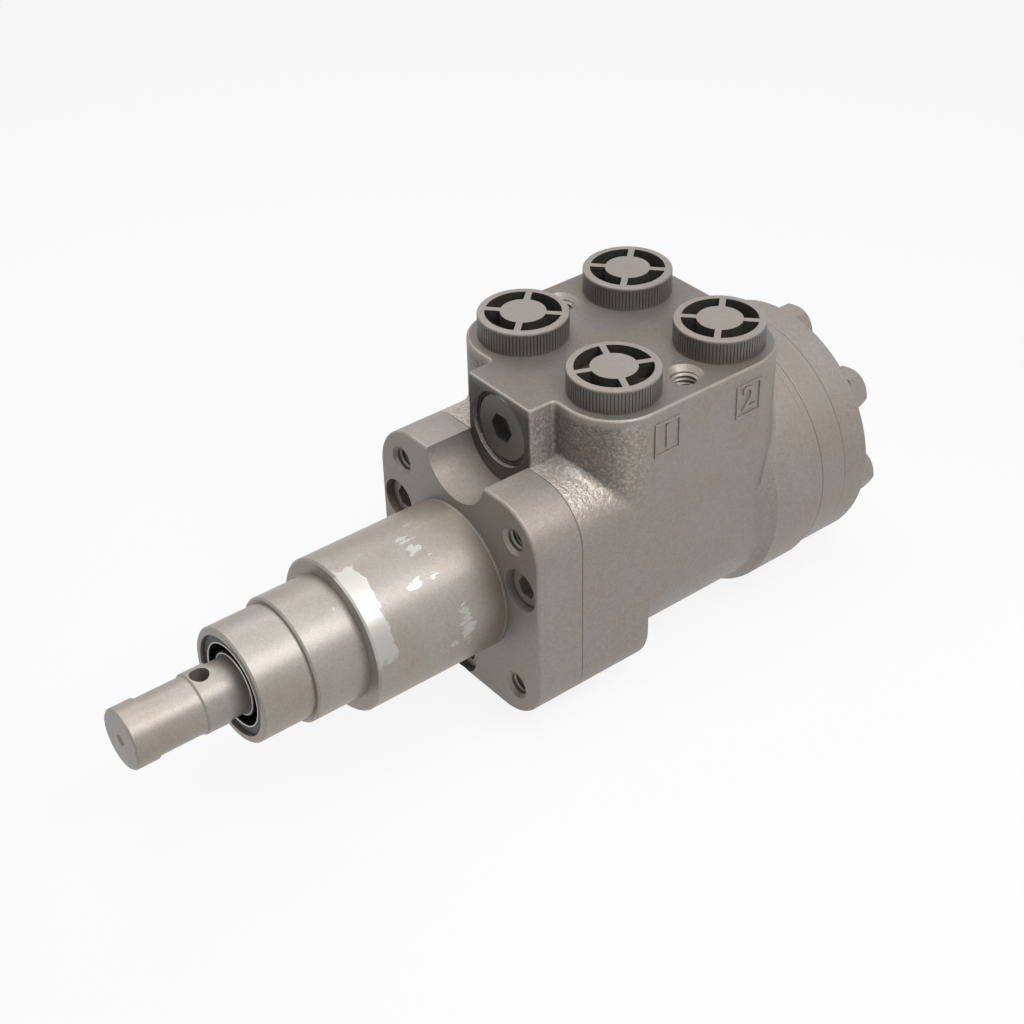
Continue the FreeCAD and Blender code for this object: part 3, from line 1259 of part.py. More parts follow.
def main():
    column_flange()
    column_tube()
    mouth_parts()
    ball_bearing()
    input_shaft()
    flange_screws()
    neck_seal()
    housing()
    flange_ring_seal()
    thrust_bearing()
    spool()
    sleeve()
    centring_springs()
    distributor_plate()
    gear_ring()
    rotor()
    drive_shaft()
    drive_spacer()
    end_cap()
    end_cap_bolts()
    relief_valve()
    check_valve()
    port_caps()
    doc.recompute()
    check(PIECES)
    os.makedirs("parts", exist_ok=True)
    for item in PIECES:
        item.Shape.exportStep(f"parts/{item.Label}.step")
        print(item.Label, len(item.Shape.Solids), "solid(s)", round(item.Shape.Volume), "mm3")


main()
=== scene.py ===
import json
import math

import bmesh
import bpy
from bpy.props import FloatProperty, FloatVectorProperty, IntProperty, PointerProperty
from mathutils import Matrix, Vector

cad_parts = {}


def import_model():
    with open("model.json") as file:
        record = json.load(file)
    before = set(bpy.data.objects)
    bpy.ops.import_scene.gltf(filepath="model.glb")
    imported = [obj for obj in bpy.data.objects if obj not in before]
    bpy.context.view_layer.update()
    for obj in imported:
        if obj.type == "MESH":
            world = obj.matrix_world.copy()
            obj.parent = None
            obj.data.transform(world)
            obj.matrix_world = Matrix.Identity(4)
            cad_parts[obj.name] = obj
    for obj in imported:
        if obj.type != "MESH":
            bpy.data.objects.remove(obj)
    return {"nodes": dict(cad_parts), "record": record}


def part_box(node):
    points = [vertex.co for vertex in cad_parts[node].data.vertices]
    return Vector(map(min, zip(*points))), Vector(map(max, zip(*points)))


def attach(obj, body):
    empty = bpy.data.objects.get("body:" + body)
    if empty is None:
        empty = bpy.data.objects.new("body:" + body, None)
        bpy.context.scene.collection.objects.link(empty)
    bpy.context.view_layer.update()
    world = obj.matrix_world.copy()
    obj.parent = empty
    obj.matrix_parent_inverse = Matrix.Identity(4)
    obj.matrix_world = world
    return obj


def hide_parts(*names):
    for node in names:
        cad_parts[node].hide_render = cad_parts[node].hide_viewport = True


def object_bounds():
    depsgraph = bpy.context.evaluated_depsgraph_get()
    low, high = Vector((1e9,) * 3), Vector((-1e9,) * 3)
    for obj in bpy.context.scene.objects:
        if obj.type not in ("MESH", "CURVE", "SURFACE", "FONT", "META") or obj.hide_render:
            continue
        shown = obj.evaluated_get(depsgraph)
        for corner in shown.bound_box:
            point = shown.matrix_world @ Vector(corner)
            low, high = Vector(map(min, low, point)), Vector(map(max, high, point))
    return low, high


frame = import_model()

bl_info = {
    "name": "Orbital steering unit",
    "version": (1, 0, 0),
    "blender": (4, 5, 0),
    "location": "3D View > Sidebar > Steering Unit",
    "description": "Dresses the steering unit's solids in sprayed, cast and worn metal",
    "category": "Object",
}

CAD_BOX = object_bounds()
MM = 0.001
WELD = 1e-6


def low(node):
    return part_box(node)[0]


def high(node):
    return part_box(node)[1]


def middle(node):
    return (low(node) + high(node)) / 2


# Each port cap's body, and its spokes' turn in degrees
CAPS = {
    "port_cap_tank": ("tank_cap_body", 66.0),
    "port_cap_pressure": ("pressure_cap_body", 42.0),
    "port_cap_left": ("left_cap_body", 42.0),
    "port_cap_right": ("right_cap_body", 42.0),
}
FLANGE_FACE = low("column_flange").y
FLANGE_BACK = high("column_flange").y
PORT_FACE = high("housing").z
CAP_TOP = high("port_cap_tank").z

# Where one painted piece ends and the next begins, along the axis
CASTING_JOINTS = (FLANGE_BACK, high("housing").y)
STEEL_JOINTS = (*CASTING_JOINTS, high("distributor_plate").y, high("gear_ring").y)
JOINT_WIDTH = 0.38 * MM
GROOVE_DEPTH = 0.16 * MM

# Where the casting turns coarse: ahead of the ports' rows, above its foot and below the port face
COARSE_AHEAD = (53 * MM, 44 * MM)
COARSE_ABOVE = (30 * MM, 44 * MM)
COARSE_BELOW = (PORT_FACE - 1 * MM, PORT_FACE - 4 * MM)

# The column's barrel in millimetres along the axis, and the worn band behind its front edge
BARREL_FRONT = -56.2
BAND_REACH = (-3.0, 8.5)
BAND_TURN = (6.0, 84.0)

# Bare patches: millimetres along the column, degrees round it, length, turn and how much is bare
BARE_PATCHES = (
    (-25.0, 12.0, 11.0, 34.0, 0.27),
    (-31.0, 41.0, 11.0, 6.5, 0.40),
    (-18.0, 83.0, 3.6, 16.0, 0.50),
    (-24.0, 94.0, 3.6, 4.5, 0.36),
    (-20.0, -3.0, 13.0, 20.0, 0.2),
    (-51.0, -4.0, 5.0, 18.0, 0.26),
    (-60.8, 26.0, 0.9, 7.0, 0.3),
    (-78.4, 73.0, 0.9, 3.5, 0.4),
)

PAINT_METALLIC = 0.42
RUBBED_METALLIC = 0.85
RUBBED_ROUGHNESS = 0.38

# Colour and roughness of the metals that are neither painted nor worn
PLAIN_METALS = {
    "bearing_steel": ((0.66, 0.66, 0.67), 0.15),
    "spring_steel": ((0.2, 0.2, 0.24), 0.35),
    "spring_steel_bright": ((0.62, 0.60, 0.57), 0.3),
    "bronze": ((0.55, 0.36, 0.18), 0.4),
    "brass": ((0.66, 0.48, 0.22), 0.3),
}

# The dust seal's metal edges: inner and outer radius, and front and back from its face, in millimetres
SEAL_EDGES = {
    "seal_case_edge": (15.45, 15.85, -0.3, 0.3),
    "seal_lip_edge": (11.3, 11.6, 0.2, 0.75),
}

# Numerals beside the right-hand ports: their middles along the axis and up, on the block's flat side
PORT_MARKS = {"1": (58.5 * MM, 57.5 * MM), "2": (97.5 * MM, 57.0 * MM)}
SIDE_WALL = high("column_flange").x - 0.05 * MM

# Lamps: place, size and power
LAMPS = {
    "key": ((0.0, 0.0, 1.1), 0.6, 4.4),
    "side": ((0.35, 0.1, 0.5), 0.3, 2.0),
    "left": ((-0.35, 0.05, 0.45), 0.3, 0.6),
    "front": ((-0.2, -1.0, 0.7), 0.6, 0.8),
}
SKY_LIGHT = 0.08
FLOOR_GLOW = 0.88

# The camera's place, and its turn, rise and roll in degrees
CAMERA_PLACE = (0.44770, -0.32271, 0.42496)
CAMERA_ANGLES = (52.15, 35.85, -1.43)
CAMERA_LENS = 67.14


class SteeringUnitSizes(bpy.types.PropertyGroup):
    """Sizes of the pieces that are modelled here, not in the solids."""

    mount_pitch: FloatProperty(
        name="Mount pitch", description="Pitch of the tapped holes in the flange",
        default=0.065, unit="LENGTH")
    mount_hole: FloatProperty(
        name="Mount hole", description="Wall radius of the tapped holes in the flange",
        default=0.00425, unit="LENGTH")
    mount_thread_pitch: FloatProperty(
        name="Mount thread pitch", description="Pitch of the threads in the flange",
        default=0.0015, unit="LENGTH")
    top_spacing: FloatProperty(
        name="Top hole spacing", description="Spacing of the tapped holes in the port face",
        default=0.068, unit="LENGTH")
    top_hole: FloatProperty(
        name="Top hole", description="Wall radius of the tapped holes in the port face",
        default=0.0051, unit="LENGTH")
    top_thread_pitch: FloatProperty(
        name="Top thread pitch", description="Pitch of the threads in the port face",
        default=0.00175, unit="LENGTH")
    thread_depth: FloatProperty(
        name="Thread depth", description="How far the thread stands in from the hole's wall",
        default=0.00075, unit="LENGTH")
    mount_thread_start: FloatProperty(
        name="Mount thread start", description="Depth at which the flange's threads begin",
        default=0.0022, unit="LENGTH")
    mount_thread_length: FloatProperty(
        name="Mount thread length", description="Length of the flange's threads",
        default=0.014, unit="LENGTH")
    top_thread_start: FloatProperty(
        name="Top thread start", description="Depth at which the port face's threads begin",
        default=0.0026, unit="LENGTH")
    top_thread_length: FloatProperty(
        name="Top thread length", description="Length of the port face's threads",
        default=0.015, unit="LENGTH")
    cap_ribs: IntProperty(
        name="Cap ribs", description="Number of ribs round each port cap", default=84, min=12)
    cap_groove: FloatProperty(
        name="Cap groove", description="Depth of the grooves between a cap's ribs",
        default=0.00045, unit="LENGTH")
    cap_window: FloatProperty(
        name="Cap window", description="Outer radius of a cap's windows",
        default=0.0141, unit="LENGTH")
    cap_disc: FloatProperty(
        name="Cap disc", description="Radius of a cap's middle disc",
        default=0.0085, unit="LENGTH")
    cap_spoke: FloatProperty(
        name="Cap spoke", description="Width of a cap's spokes", default=0.0024, unit="LENGTH")
    cap_window_depth: FloatProperty(
        name="Cap window depth", description="Depth of a cap's windows", default=0.006, unit="LENGTH")
    cap_spigot: FloatProperty(
        name="Cap spigot", description="Radius of the spigot under a cap", default=0.01175,
        unit="LENGTH")
    mark_relief: FloatProperty(
        name="Mark relief", description="How far the cast port marks stand out",
        default=0.0004, unit="LENGTH")
    mark_height: FloatProperty(
        name="Mark height", description="Size of the numerals' type", default=0.0135, unit="LENGTH")
    mark_frame: FloatVectorProperty(
        name="Mark frame", description="Width and height of a numeral's frame", size=2,
        default=(0.012, 0.0136), unit="LENGTH")
    mark_line: FloatProperty(
        name="Mark line", description="Width of a frame's line", default=0.0009, unit="LENGTH")


class SteeringUnitColours(bpy.types.PropertyGroup):
    """Colours of the finishes."""

    paint: FloatVectorProperty(
        name="Paint", description="Sprayed warm grey paint", subtype="COLOR", size=3,
        default=(0.300, 0.271, 0.250), min=0.0, max=1.0)
    column_paint: FloatVectorProperty(
        name="Column paint", description="Thinner, yellower paint on the column", subtype="COLOR", size=3,
        default=(0.345, 0.312, 0.280), min=0.0, max=1.0)
    # Painted shade: darker, browner paint on the column towards the flange
    flange_painted_shade: FloatVectorProperty(
        name="Flange painted shade", description="Brownish film on the column by the flange", subtype="COLOR", size=3,
        default=(0.235, 0.200, 0.160), min=0.0, max=1.0)
    # Bare steel is also the colour of the painted highlight line on the column
    bare_steel_and_highlight: FloatVectorProperty(
        name="Bare steel", description="Steel where the paint is rubbed off", subtype="COLOR", size=3,
        default=(0.455, 0.442, 0.412), min=0.0, max=1.0)
    dark_steel: FloatVectorProperty(
        name="Dark steel", description="Phosphated relief plug", subtype="COLOR", size=3,
        default=(0.15, 0.148, 0.14), min=0.0, max=1.0)
    rubber: FloatVectorProperty(
        name="Rubber", description="Black seals", subtype="COLOR", size=3,
        default=(0.012, 0.012, 0.012), min=0.0, max=1.0)
    ground_steel: FloatVectorProperty(
        name="Ground steel", description="Inner pieces of the valve", subtype="COLOR", size=3,
        default=(0.56, 0.56, 0.57), min=0.0, max=1.0)
    # Painted shade: a near-black colour for the inside of a cap's windows
    window_painted_shade: FloatVectorProperty(
        name="Window dark", description="Unpainted inside of a cap's windows", subtype="COLOR", size=3,
        default=(0.035, 0.031, 0.024), min=0.0, max=1.0)


def sizes():
    return bpy.context.scene.steering_unit_sizes


def colours():
    return bpy.context.scene.steering_unit_colours


# Shader helpers

def put(tree, socket, value):
    """Links a socket to another one, or sets it where the value is plain."""
    if isinstance(value, bpy.types.NodeSocket):
        tree.links.new(value, socket)
    else:
        socket.default_value = value


def node(tree, kind, inputs=None, **settings):
    """A shader node with its settings, and with values or links for its inputs."""
    item = tree.nodes.new(kind)
    for name, value in settings.items():
        setattr(item, name, value)
    for key, value in (inputs or {}).items():
        put(tree, item.inputs[key], value)
    return item


def maths(tree, operation, first, second=0.0):
    return node(tree, "ShaderNodeMath", {0: first, 1: second}, operation=operation).outputs[0]


def plus(tree, first, second):
    return maths(tree, "ADD", first, second)


def minus(tree, first, second):
    return maths(tree, "SUBTRACT", first, second)


def times(tree, first, second):
    return maths(tree, "MULTIPLY", first, second)


def highest(tree, values):
    """The greatest of several values."""
    result, *others = values
    for value in others:
        result = maths(tree, "MAXIMUM", result, value)
    return result


def axes(tree, vector):
    """The X, Y and Z of a vector."""
    return node(tree, "ShaderNodeSeparateXYZ", {0: vector}).outputs


def swing(tree, value, width):
    """A noise's values spread about nought instead of a half."""
    return times(tree, minus(tree, value, 0.5), width)


def ramp(tree, value, start, end, low_out=0.0, high_out=1.0, smooth=True):
    """A value carried from one range to another, held at both ends."""
    kind = "SMOOTHSTEP" if smooth else "LINEAR"
    return node(tree, "ShaderNodeMapRange",
                {"Value": value, "From Min": start, "From Max": end, "To Min": low_out,
                 "To Max": high_out}, interpolation_type=kind).outputs["Result"]


def noise(tree, vector, scale, detail=2.0, roughness=0.5, distortion=0.0):
    """A noise about a half."""
    return node(tree, "ShaderNodeTexNoise",
                {"Vector": vector, "Scale": scale, "Detail": detail, "Roughness": roughness,
                 "Distortion": distortion}).outputs["Fac"]


def blend_colour(tree, share, first, second):
    """The first colour at a share of 0, the second at 1."""
    return node(tree, "ShaderNodeMix", {0: share, 6: first, 7: second}, data_type="RGBA").outputs[2]


def scaled_colour(tree, colour, factor):
    """A colour made lighter or darker by a factor that changes over the surface."""
    if not isinstance(colour, bpy.types.NodeSocket):
        colour = tuple(colour)[:3]
    return node(tree, "ShaderNodeVectorMath", {0: colour, "Scale": factor}, operation="SCALE").outputs[0]


def object_place(tree):
    return tree.nodes.new("ShaderNodeTexCoord").outputs["Object"]


def effect(name, inputs, outputs, build):
    """A shader node group; build returns the sockets for its outputs in order."""
    if name in bpy.data.node_groups:
        return bpy.data.node_groups[name]
    tree = bpy.data.node_groups.new(name, "ShaderNodeTree")
    for label, kind, default in inputs:
        socket = tree.interface.new_socket(label, in_out="INPUT", socket_type=f"NodeSocket{kind}")
        socket.default_value = default
    for label, kind in outputs:
        tree.interface.new_socket(label, in_out="OUTPUT", socket_type=f"NodeSocket{kind}")
    source = tree.nodes.new("NodeGroupInput").outputs
    sink = tree.nodes.new("NodeGroupOutput").inputs
    for socket, result in zip(sink, build(tree, source)):
        tree.links.new(result, socket)
    return tree


def use(tree, group, **inputs):
    """Places an effect's group and gives its outputs."""
    return node(tree, "ShaderNodeGroup", {name.replace("_", " "): value for name, value in inputs.items()},
                node_tree=group).outputs


# Effects that several finishes share

def sprayed_paint():
    """Paint with fine flakes and a slow change of tone, warmer and cooler in turn."""
    warm, cool = (1.03, 0.995, 0.955, 1.0), (0.985, 1.0, 1.025, 1.0)

    def build(tree, given):
        place = object_place(tree)
        flakes = noise(tree, place, given["Flake size"], 3.0, 0.7)
        mottle = noise(tree, place, times(tree, given["Flake size"], 0.3), 2.0, 0.6)
        clouds = noise(tree, place, 38.0, 3.0, 0.55)
        flake_tone = swing(tree, flakes, given["Flakes"])
        mottle_tone = swing(tree, mottle, times(tree, given["Flakes"], 0.35))
        cloud_tone = swing(tree, clouds, given["Clouds"])
        tone = plus(tree, plus(tree, flake_tone, mottle_tone), plus(tree, cloud_tone, 1.0))
        tint = blend_colour(tree, ramp(tree, clouds, 0.36, 0.64), warm, cool)
        tinted = node(tree, "ShaderNodeVectorMath", {0: given["Paint"], 1: tint}, operation="MULTIPLY")
        rough = plus(tree, given["Roughness"], times(tree, flake_tone, -0.25))
        return scaled_colour(tree, tinted.outputs[0], tone), rough, flakes
    return effect("Sprayed paint", [
        ("Paint", "Color", (0.3, 0.3, 0.3, 1.0)), ("Flake size", "Float", 1700.0),
        ("Flakes", "Float", 0.9), ("Clouds", "Float", 0.3), ("Roughness", "Float", 0.45),
    ], [("Color", "Color"), ("Roughness", "Float"), ("Height", "Float")], build)


def cast_skin():
    """The uneven skin of sand casting, coarser where asked."""
    def build(tree, given):
        place = object_place(tree)
        fine = noise(tree, place, 1500.0, 3.0, 0.6)
        grains = noise(tree, place, 620.0, 2.0, 0.55, 0.4)
        swells = noise(tree, place, 90.0, 2.0, 0.5)
        coarse = times(tree, grains, given["Coarse"])
        return (plus(tree, times(tree, fine, given["Fine"]),
                     plus(tree, coarse, times(tree, swells, 0.8))),)
    return effect("Cast skin", [("Fine", "Float", 0.35), ("Coarse", "Float", 0.4)],
                  [("Height", "Float")], build)


def span():
    """1 between two values, with soft ends."""
    def build(tree, given):
        half = times(tree, given["Blur"], 0.5)
        rise = ramp(tree, given["Value"], minus(tree, given["From"], half), plus(tree, given["From"], half))
        fall = ramp(tree, given["Value"], minus(tree, given["To"], half), plus(tree, given["To"], half),
                    1.0, 0.0)
        return (times(tree, rise, fall),)
    return effect("Span", [("Value", "Float", 0.0), ("From", "Float", 0.0), ("To", "Float", 1.0),
                           ("Blur", "Float", 0.1)], [("Mask", "Float")], build)


def joint_line():
    """A thin groove across the axis, where two pieces meet."""
    def build(tree, given):
        along = axes(tree, object_place(tree))["Y"]
        away = maths(tree, "ABSOLUTE", minus(tree, along, given["At"]))
        return (ramp(tree, away, given["Width"], 0.0),)
    return effect("Joint line", [("At", "Float", 0.0), ("Width", "Float", JOINT_WIDTH)],
                  [("Mask", "Float")], build)


def joints_at(tree, places):
    """1 in the grooves between pieces, 0 elsewhere."""
    return highest(tree, [use(tree, joint_line(), At=at)["Mask"] for at in places])


def column_place():
    """Millimetres along the column's axis and degrees round it from the top."""
    def build(tree, given):
        place = axes(tree, object_place(tree))
        along = times(tree, place["Y"], 1 / MM)
        around = times(tree, maths(tree, "ARCTAN2", place["X"], place["Z"]), 180 / math.pi)
        return along, around
    return effect("Column place", [], [("Along", "Float"), ("Around", "Float")], build)


def scrape():
    """A ragged patch of streaks on the column, where something rubbed along it."""
    def build(tree, given):
        here = use(tree, column_place())
        away = maths(tree, "DIVIDE", minus(tree, here["Along"], given["Along"]), given["Length"])
        aside = maths(tree, "DIVIDE", minus(tree, here["Around"], given["Around"]), given["Turn"])
        reach = maths(tree, "SQRT", plus(tree, times(tree, away, away), times(tree, aside, aside)))
        stretched = node(tree, "ShaderNodeMapping",
                         {"Vector": object_place(tree), "Scale": (1.0, 0.24, 1.0)}).outputs[0]
        streaks = noise(tree, stretched, 560.0, 3.0, 0.65)
        ragged = noise(tree, object_place(tree), 190.0, 3.0, 0.6)
        cover = plus(tree, streaks, times(tree, ragged, 0.6))
        level = minus(tree, cover, times(tree, reach, 0.35))
        edge = minus(tree, 1.05, given["Cover"])
        return (ramp(tree, level, edge, plus(tree, edge, 0.05)),)
    return effect("Scrape", [
        ("Along", "Float", 0.0), ("Around", "Float", 0.0), ("Length", "Float", 10.0),
        ("Turn", "Float", 20.0), ("Cover", "Float", 0.4),
    ], [("Mask", "Float")], build)


def rubbed_bare():
    """Paint above bare metal, with the step between them."""
    def build(tree, given):
        mask, rough = given["Mask"], given["Roughness"]
        colour = blend_colour(tree, mask, given["Paint"], given["Metal"])
        metallic = ramp(tree, mask, 0.0, 1.0, PAINT_METALLIC, RUBBED_METALLIC, smooth=False)
        rough = plus(tree, times(tree, mask, minus(tree, RUBBED_ROUGHNESS, rough)), rough)
        return colour, metallic, rough, minus(tree, 1.0, mask)
    return effect("Rubbed bare", [
        ("Mask", "Float", 0.0), ("Paint", "Color", (0.3, 0.3, 0.3, 1.0)),
        ("Metal", "Color", (0.8, 0.8, 0.8, 1.0)), ("Roughness", "Float", 0.45),
    ], [("Color", "Color"), ("Metallic", "Float"), ("Roughness", "Float"), ("Height", "Float")], build)


# Finishes

def new_material(name):
    """A material with this very name; the frame's plain one gives it up."""
    if name in bpy.data.materials:
        bpy.data.materials[name].name = f"plain_{name}"
    material = bpy.data.materials.new(name)
    material.use_nodes = True
    shader = material.node_tree.nodes["Principled BSDF"]
    return material, material.node_tree, shader


def feed(tree, shader, **sockets):
    """Links or sets the shader's sockets."""
    for name, value in sockets.items():
        put(tree, shader.inputs[name.replace("_", " ")], value)


def bump(tree, height, distance, under=None):
    """The surface's direction where a height bends it, above another bump where one is given."""
    inputs = {"Height": height, "Distance": distance}
    if under:
        inputs["Normal"] = under
    return node(tree, "ShaderNodeBump", inputs).outputs["Normal"]


def opaque(colour):
    return (*colour, 1.0)


def painted_casting():
    """The housing's finish, coarse on the block's front and its foot; painted shade darkens the port face
    and the coarse faces that look forward, and painted light brightens the coarse faces that look up.
    """
    material, tree, shader = new_material("painted_casting")
    place = axes(tree, object_place(tree))
    facing = axes(tree, tree.nodes.new("ShaderNodeNewGeometry").outputs["Normal"])
    behind_flange = ramp(tree, place["Y"], FLANGE_BACK - 0.3 * MM, FLANGE_BACK + 0.3 * MM)
    coarse = times(tree, times(tree, ramp(tree, place["Y"], *COARSE_AHEAD),
                               ramp(tree, place["Z"], *COARSE_ABOVE)),
                   times(tree, ramp(tree, place["Z"], *COARSE_BELOW), behind_flange))
    machined = ramp(tree, facing["Z"], 0.96, 0.999)
    # Painted shade: the port face, which looks up, is darkened in colour
    port_face_painted_shade = times(tree, machined, ramp(tree, place["Z"], PORT_FACE - 1 * MM, PORT_FACE - 0.5 * MM))
    joint = joints_at(tree, CASTING_JOINTS)
    paint = use(tree, sprayed_paint(), Paint=opaque(colours().paint), Flakes=0.75, Clouds=0.22,
                Roughness=0.47)

    grains = ramp(tree, noise(tree, object_place(tree), 900.0, 2.0, 0.6), 0.42, 0.62, 0.92, 1.38)
    grain_tone = plus(tree, times(tree, coarse, minus(tree, grains, 1.0)), 1.0)
    # Painted shade: the coarse faces that look forward are darkened in colour
    front_faces_painted_shade = times(tree, times(tree, coarse, ramp(tree, facing["Z"], 0.3, 0.1)),
                    ramp(tree, facing["Y"], -0.35, -0.8, 0.0, 0.42))
    # Painted light: the coarse faces that look up, on the foot, are lightened in colour
    foot = times(tree, coarse, ramp(tree, facing["Z"], 0.2, 0.6, 0.0, 0.35))
    # What darkens the paint: the port face's painted shade, the dark joints and the forward faces' painted
    # shade, less the foot's painted light
    dark = plus(tree, plus(tree, times(tree, port_face_painted_shade, 0.34), times(tree, joint, 0.6)),
                minus(tree, front_faces_painted_shade, foot))
    tone = times(tree, grain_tone, minus(tree, 1.0, dark))

    skin = use(tree, cast_skin(), Fine=0.35, Coarse=plus(tree, times(tree, coarse, 3.4), 0.22))
    relief = times(tree, skin["Height"], minus(tree, 1.0, times(tree, machined, 0.75)))
    feed(tree, shader, Base_Color=scaled_colour(tree, paint["Color"], tone),
         Roughness=paint["Roughness"], Metallic=PAINT_METALLIC,
         Normal=bump(tree, minus(tree, relief, joint), GROOVE_DEPTH))
    return material


def painted_steel(name, coat, rough, grain):
    """Turned or rolled steel under the casting's paint or the column's."""
    material, tree, shader = new_material(name)
    paint = use(tree, sprayed_paint(), Paint=opaque(coat), Flakes=0.6, Clouds=0.2, Roughness=rough)
    joint = joints_at(tree, STEEL_JOINTS)
    colour = scaled_colour(tree, paint["Color"], minus(tree, 1.0, times(tree, joint, 0.5)))
    grooved = bump(tree, minus(tree, 1.0, joint), GROOVE_DEPTH)
    feed(tree, shader, Base_Color=colour, Roughness=paint["Roughness"], Metallic=PAINT_METALLIC,
         Normal=bump(tree, paint["Height"], grain * MM, grooved))
    return material


def painted_column():
    """Thin paint on the column, rubbed to bare steel on its edge and in patches, with painted shade towards
    the flange and a painted highlight line by it.
    """
    material, tree, shader = new_material("painted_column")
    here = use(tree, column_place())
    ragged = noise(tree, object_place(tree), 160.0, 4.0, 0.65)
    steel = opaque(colours().bare_steel_and_highlight)

    band = use(tree, span(), Value=plus(tree, here["Along"], swing(tree, ragged, 7.0)),
               From=BARREL_FRONT + BAND_REACH[0], To=BARREL_FRONT + BAND_REACH[1], Blur=0.5)["Mask"]
    side = use(tree, span(), Value=plus(tree, here["Around"], swing(tree, ragged, 46.0)),
               From=BAND_TURN[0], To=BAND_TURN[1], Blur=5.0)["Mask"]
    on_barrel = ramp(tree, here["Along"], BARREL_FRONT - 0.05, BARREL_FRONT + 0.05)
    patches = [use(tree, scrape(), Along=along, Around=around, Length=length, Turn=turn,
                   Cover=cover)["Mask"] for along, around, length, turn, cover in BARE_PATCHES]
    bare = highest(tree, [times(tree, times(tree, band, side), on_barrel), *patches])

    # Painted shade: the paint turns darker and browner towards the flange
    flange_shade = ramp(tree, plus(tree, here["Along"], times(tree, ragged, 8.0)), -16.0, 5.0, 0.0, 0.85)
    # Painted highlight: a thin line in the colour of bare steel, by the flange
    flange_painted_highlight = use(tree, span(), Value=here["Along"], From=-1.5, To=-0.9, Blur=0.35)["Mask"]
    coat = blend_colour(tree, flange_shade, opaque(colours().column_paint), opaque(colours().flange_painted_shade))
    coat = blend_colour(tree, times(tree, flange_painted_highlight, 0.8), coat, steel)
    paint = use(tree, sprayed_paint(), Paint=coat, Flakes=0.6, Clouds=0.4, Roughness=0.40)
    metal = use(tree, rubbed_bare(), Mask=bare, Paint=paint["Color"], Metal=steel,
                Roughness=paint["Roughness"])

    stretched = node(tree, "ShaderNodeMapping",
                     {"Vector": object_place(tree), "Scale": (0.02, 1.0, 0.02)}).outputs[0]
    lathe_marks = noise(tree, stretched, 2600.0)
    feed(tree, shader, Base_Color=metal["Color"], Metallic=metal["Metallic"], Roughness=metal["Roughness"],
         Normal=bump(tree, lathe_marks, 0.012 * MM, bump(tree, metal["Height"], 0.05 * MM)))
    return material


def plain_metal(name, colour, rough):
    """Metal without paint, with a faint grain."""
    material, tree, shader = new_material(name)
    grain = noise(tree, object_place(tree), 1800.0)
    tone = ramp(tree, grain, 0.3, 0.7, 0.88, 1.1, smooth=False)
    feed(tree, shader, Base_Color=scaled_colour(tree, opaque(colour), tone), Metallic=1.0,
         Roughness=ramp(tree, grain, 0.3, 0.7, rough - 0.05, rough + 0.06, smooth=False),
         Normal=bump(tree, grain, 0.01 * MM))
    return material


def seal_rubber():
    """Black rubber, dull and finely pitted."""
    material, tree, shader = new_material("seal_rubber")
    grain = noise(tree, object_place(tree), 900.0, 3.0)
    tone = ramp(tree, grain, 0.3, 0.7, 0.7, 1.6, smooth=False)
    feed(tree, shader, Base_Color=scaled_colour(tree, opaque(colours().rubber), tone),
         Roughness=ramp(tree, grain, 0.3, 0.7, 0.36, 0.52, smooth=False),
         Normal=bump(tree, grain, 0.03 * MM))
    return material


def dark_plug():
    """Phosphated steel, with bare steel's colour in patches on its chamfer."""
    material, tree, shader = new_material("dark_steel")
    grain = noise(tree, object_place(tree), 1700.0)
    place = axes(tree, object_place(tree))
    up = minus(tree, place["Z"], middle("relief_plug").z)
    reach = maths(tree, "SQRT", plus(tree, times(tree, place["X"], place["X"]), times(tree, up, up)))
    chamfer = use(tree, span(), Value=reach, From=12.25 * MM, To=13.1 * MM, Blur=0.2 * MM)["Mask"]
    chamfer_patches = ramp(tree, noise(tree, object_place(tree), 150.0), 0.35, 0.6, 0.25, 0.9)
    colour = blend_colour(tree, times(tree, chamfer, chamfer_patches), opaque(colours().dark_steel),
                          opaque(colours().bare_steel_and_highlight))
    feed(tree, shader, Base_Color=colour, Metallic=0.7,
         Roughness=ramp(tree, grain, 0.3, 0.7, 0.34, 0.46, smooth=False),
         Normal=bump(tree, grain, 0.01 * MM))
    return material


def cap_plastic():
    """Moulded plastic under the same spray, with painted shade darkening the side below the top."""
    material, tree, shader = new_material("cap_plastic")
    paint = use(tree, sprayed_paint(), Paint=opaque(colours().paint), Flakes=0.4, Clouds=0.2,
                Roughness=0.5)
    height = axes(tree, object_place(tree))["Z"]
    # Painted shade: the side is darkened to about half of the top's colour
    tone = ramp(tree, height, CAP_TOP - 0.9 * MM, CAP_TOP - 0.3 * MM, 0.49, 0.95)
    feed(tree, shader, Base_Color=scaled_colour(tree, paint["Color"], tone), Roughness=paint["Roughness"],
         Metallic=0.25, Normal=bump(tree, paint["Height"], 0.02 * MM))
    return material


def window_floor():
    """Painted shade: the near-black inside of a cap's windows."""
    material, tree, shader = new_material("window_floor")
    grain = noise(tree, object_place(tree), 700.0, 3.0)
    tone = ramp(tree, grain, 0.3, 0.7, 0.7, 1.4, smooth=False)
    feed(tree, shader, Base_Color=scaled_colour(tree, opaque(colours().window_painted_shade), tone),
         Roughness=0.6, Normal=bump(tree, grain, 0.03 * MM))
    return material


def dress(materials):
    """Gives each solid the finish of its slot."""
    for entry in frame["record"]["subparts"]:
        solid = frame["nodes"][entry["node"]]
        material = materials[entry["material_slot"]]
        if not solid.material_slots:
            solid.data.materials.append(material)
        for place in solid.material_slots:
            place.material = material


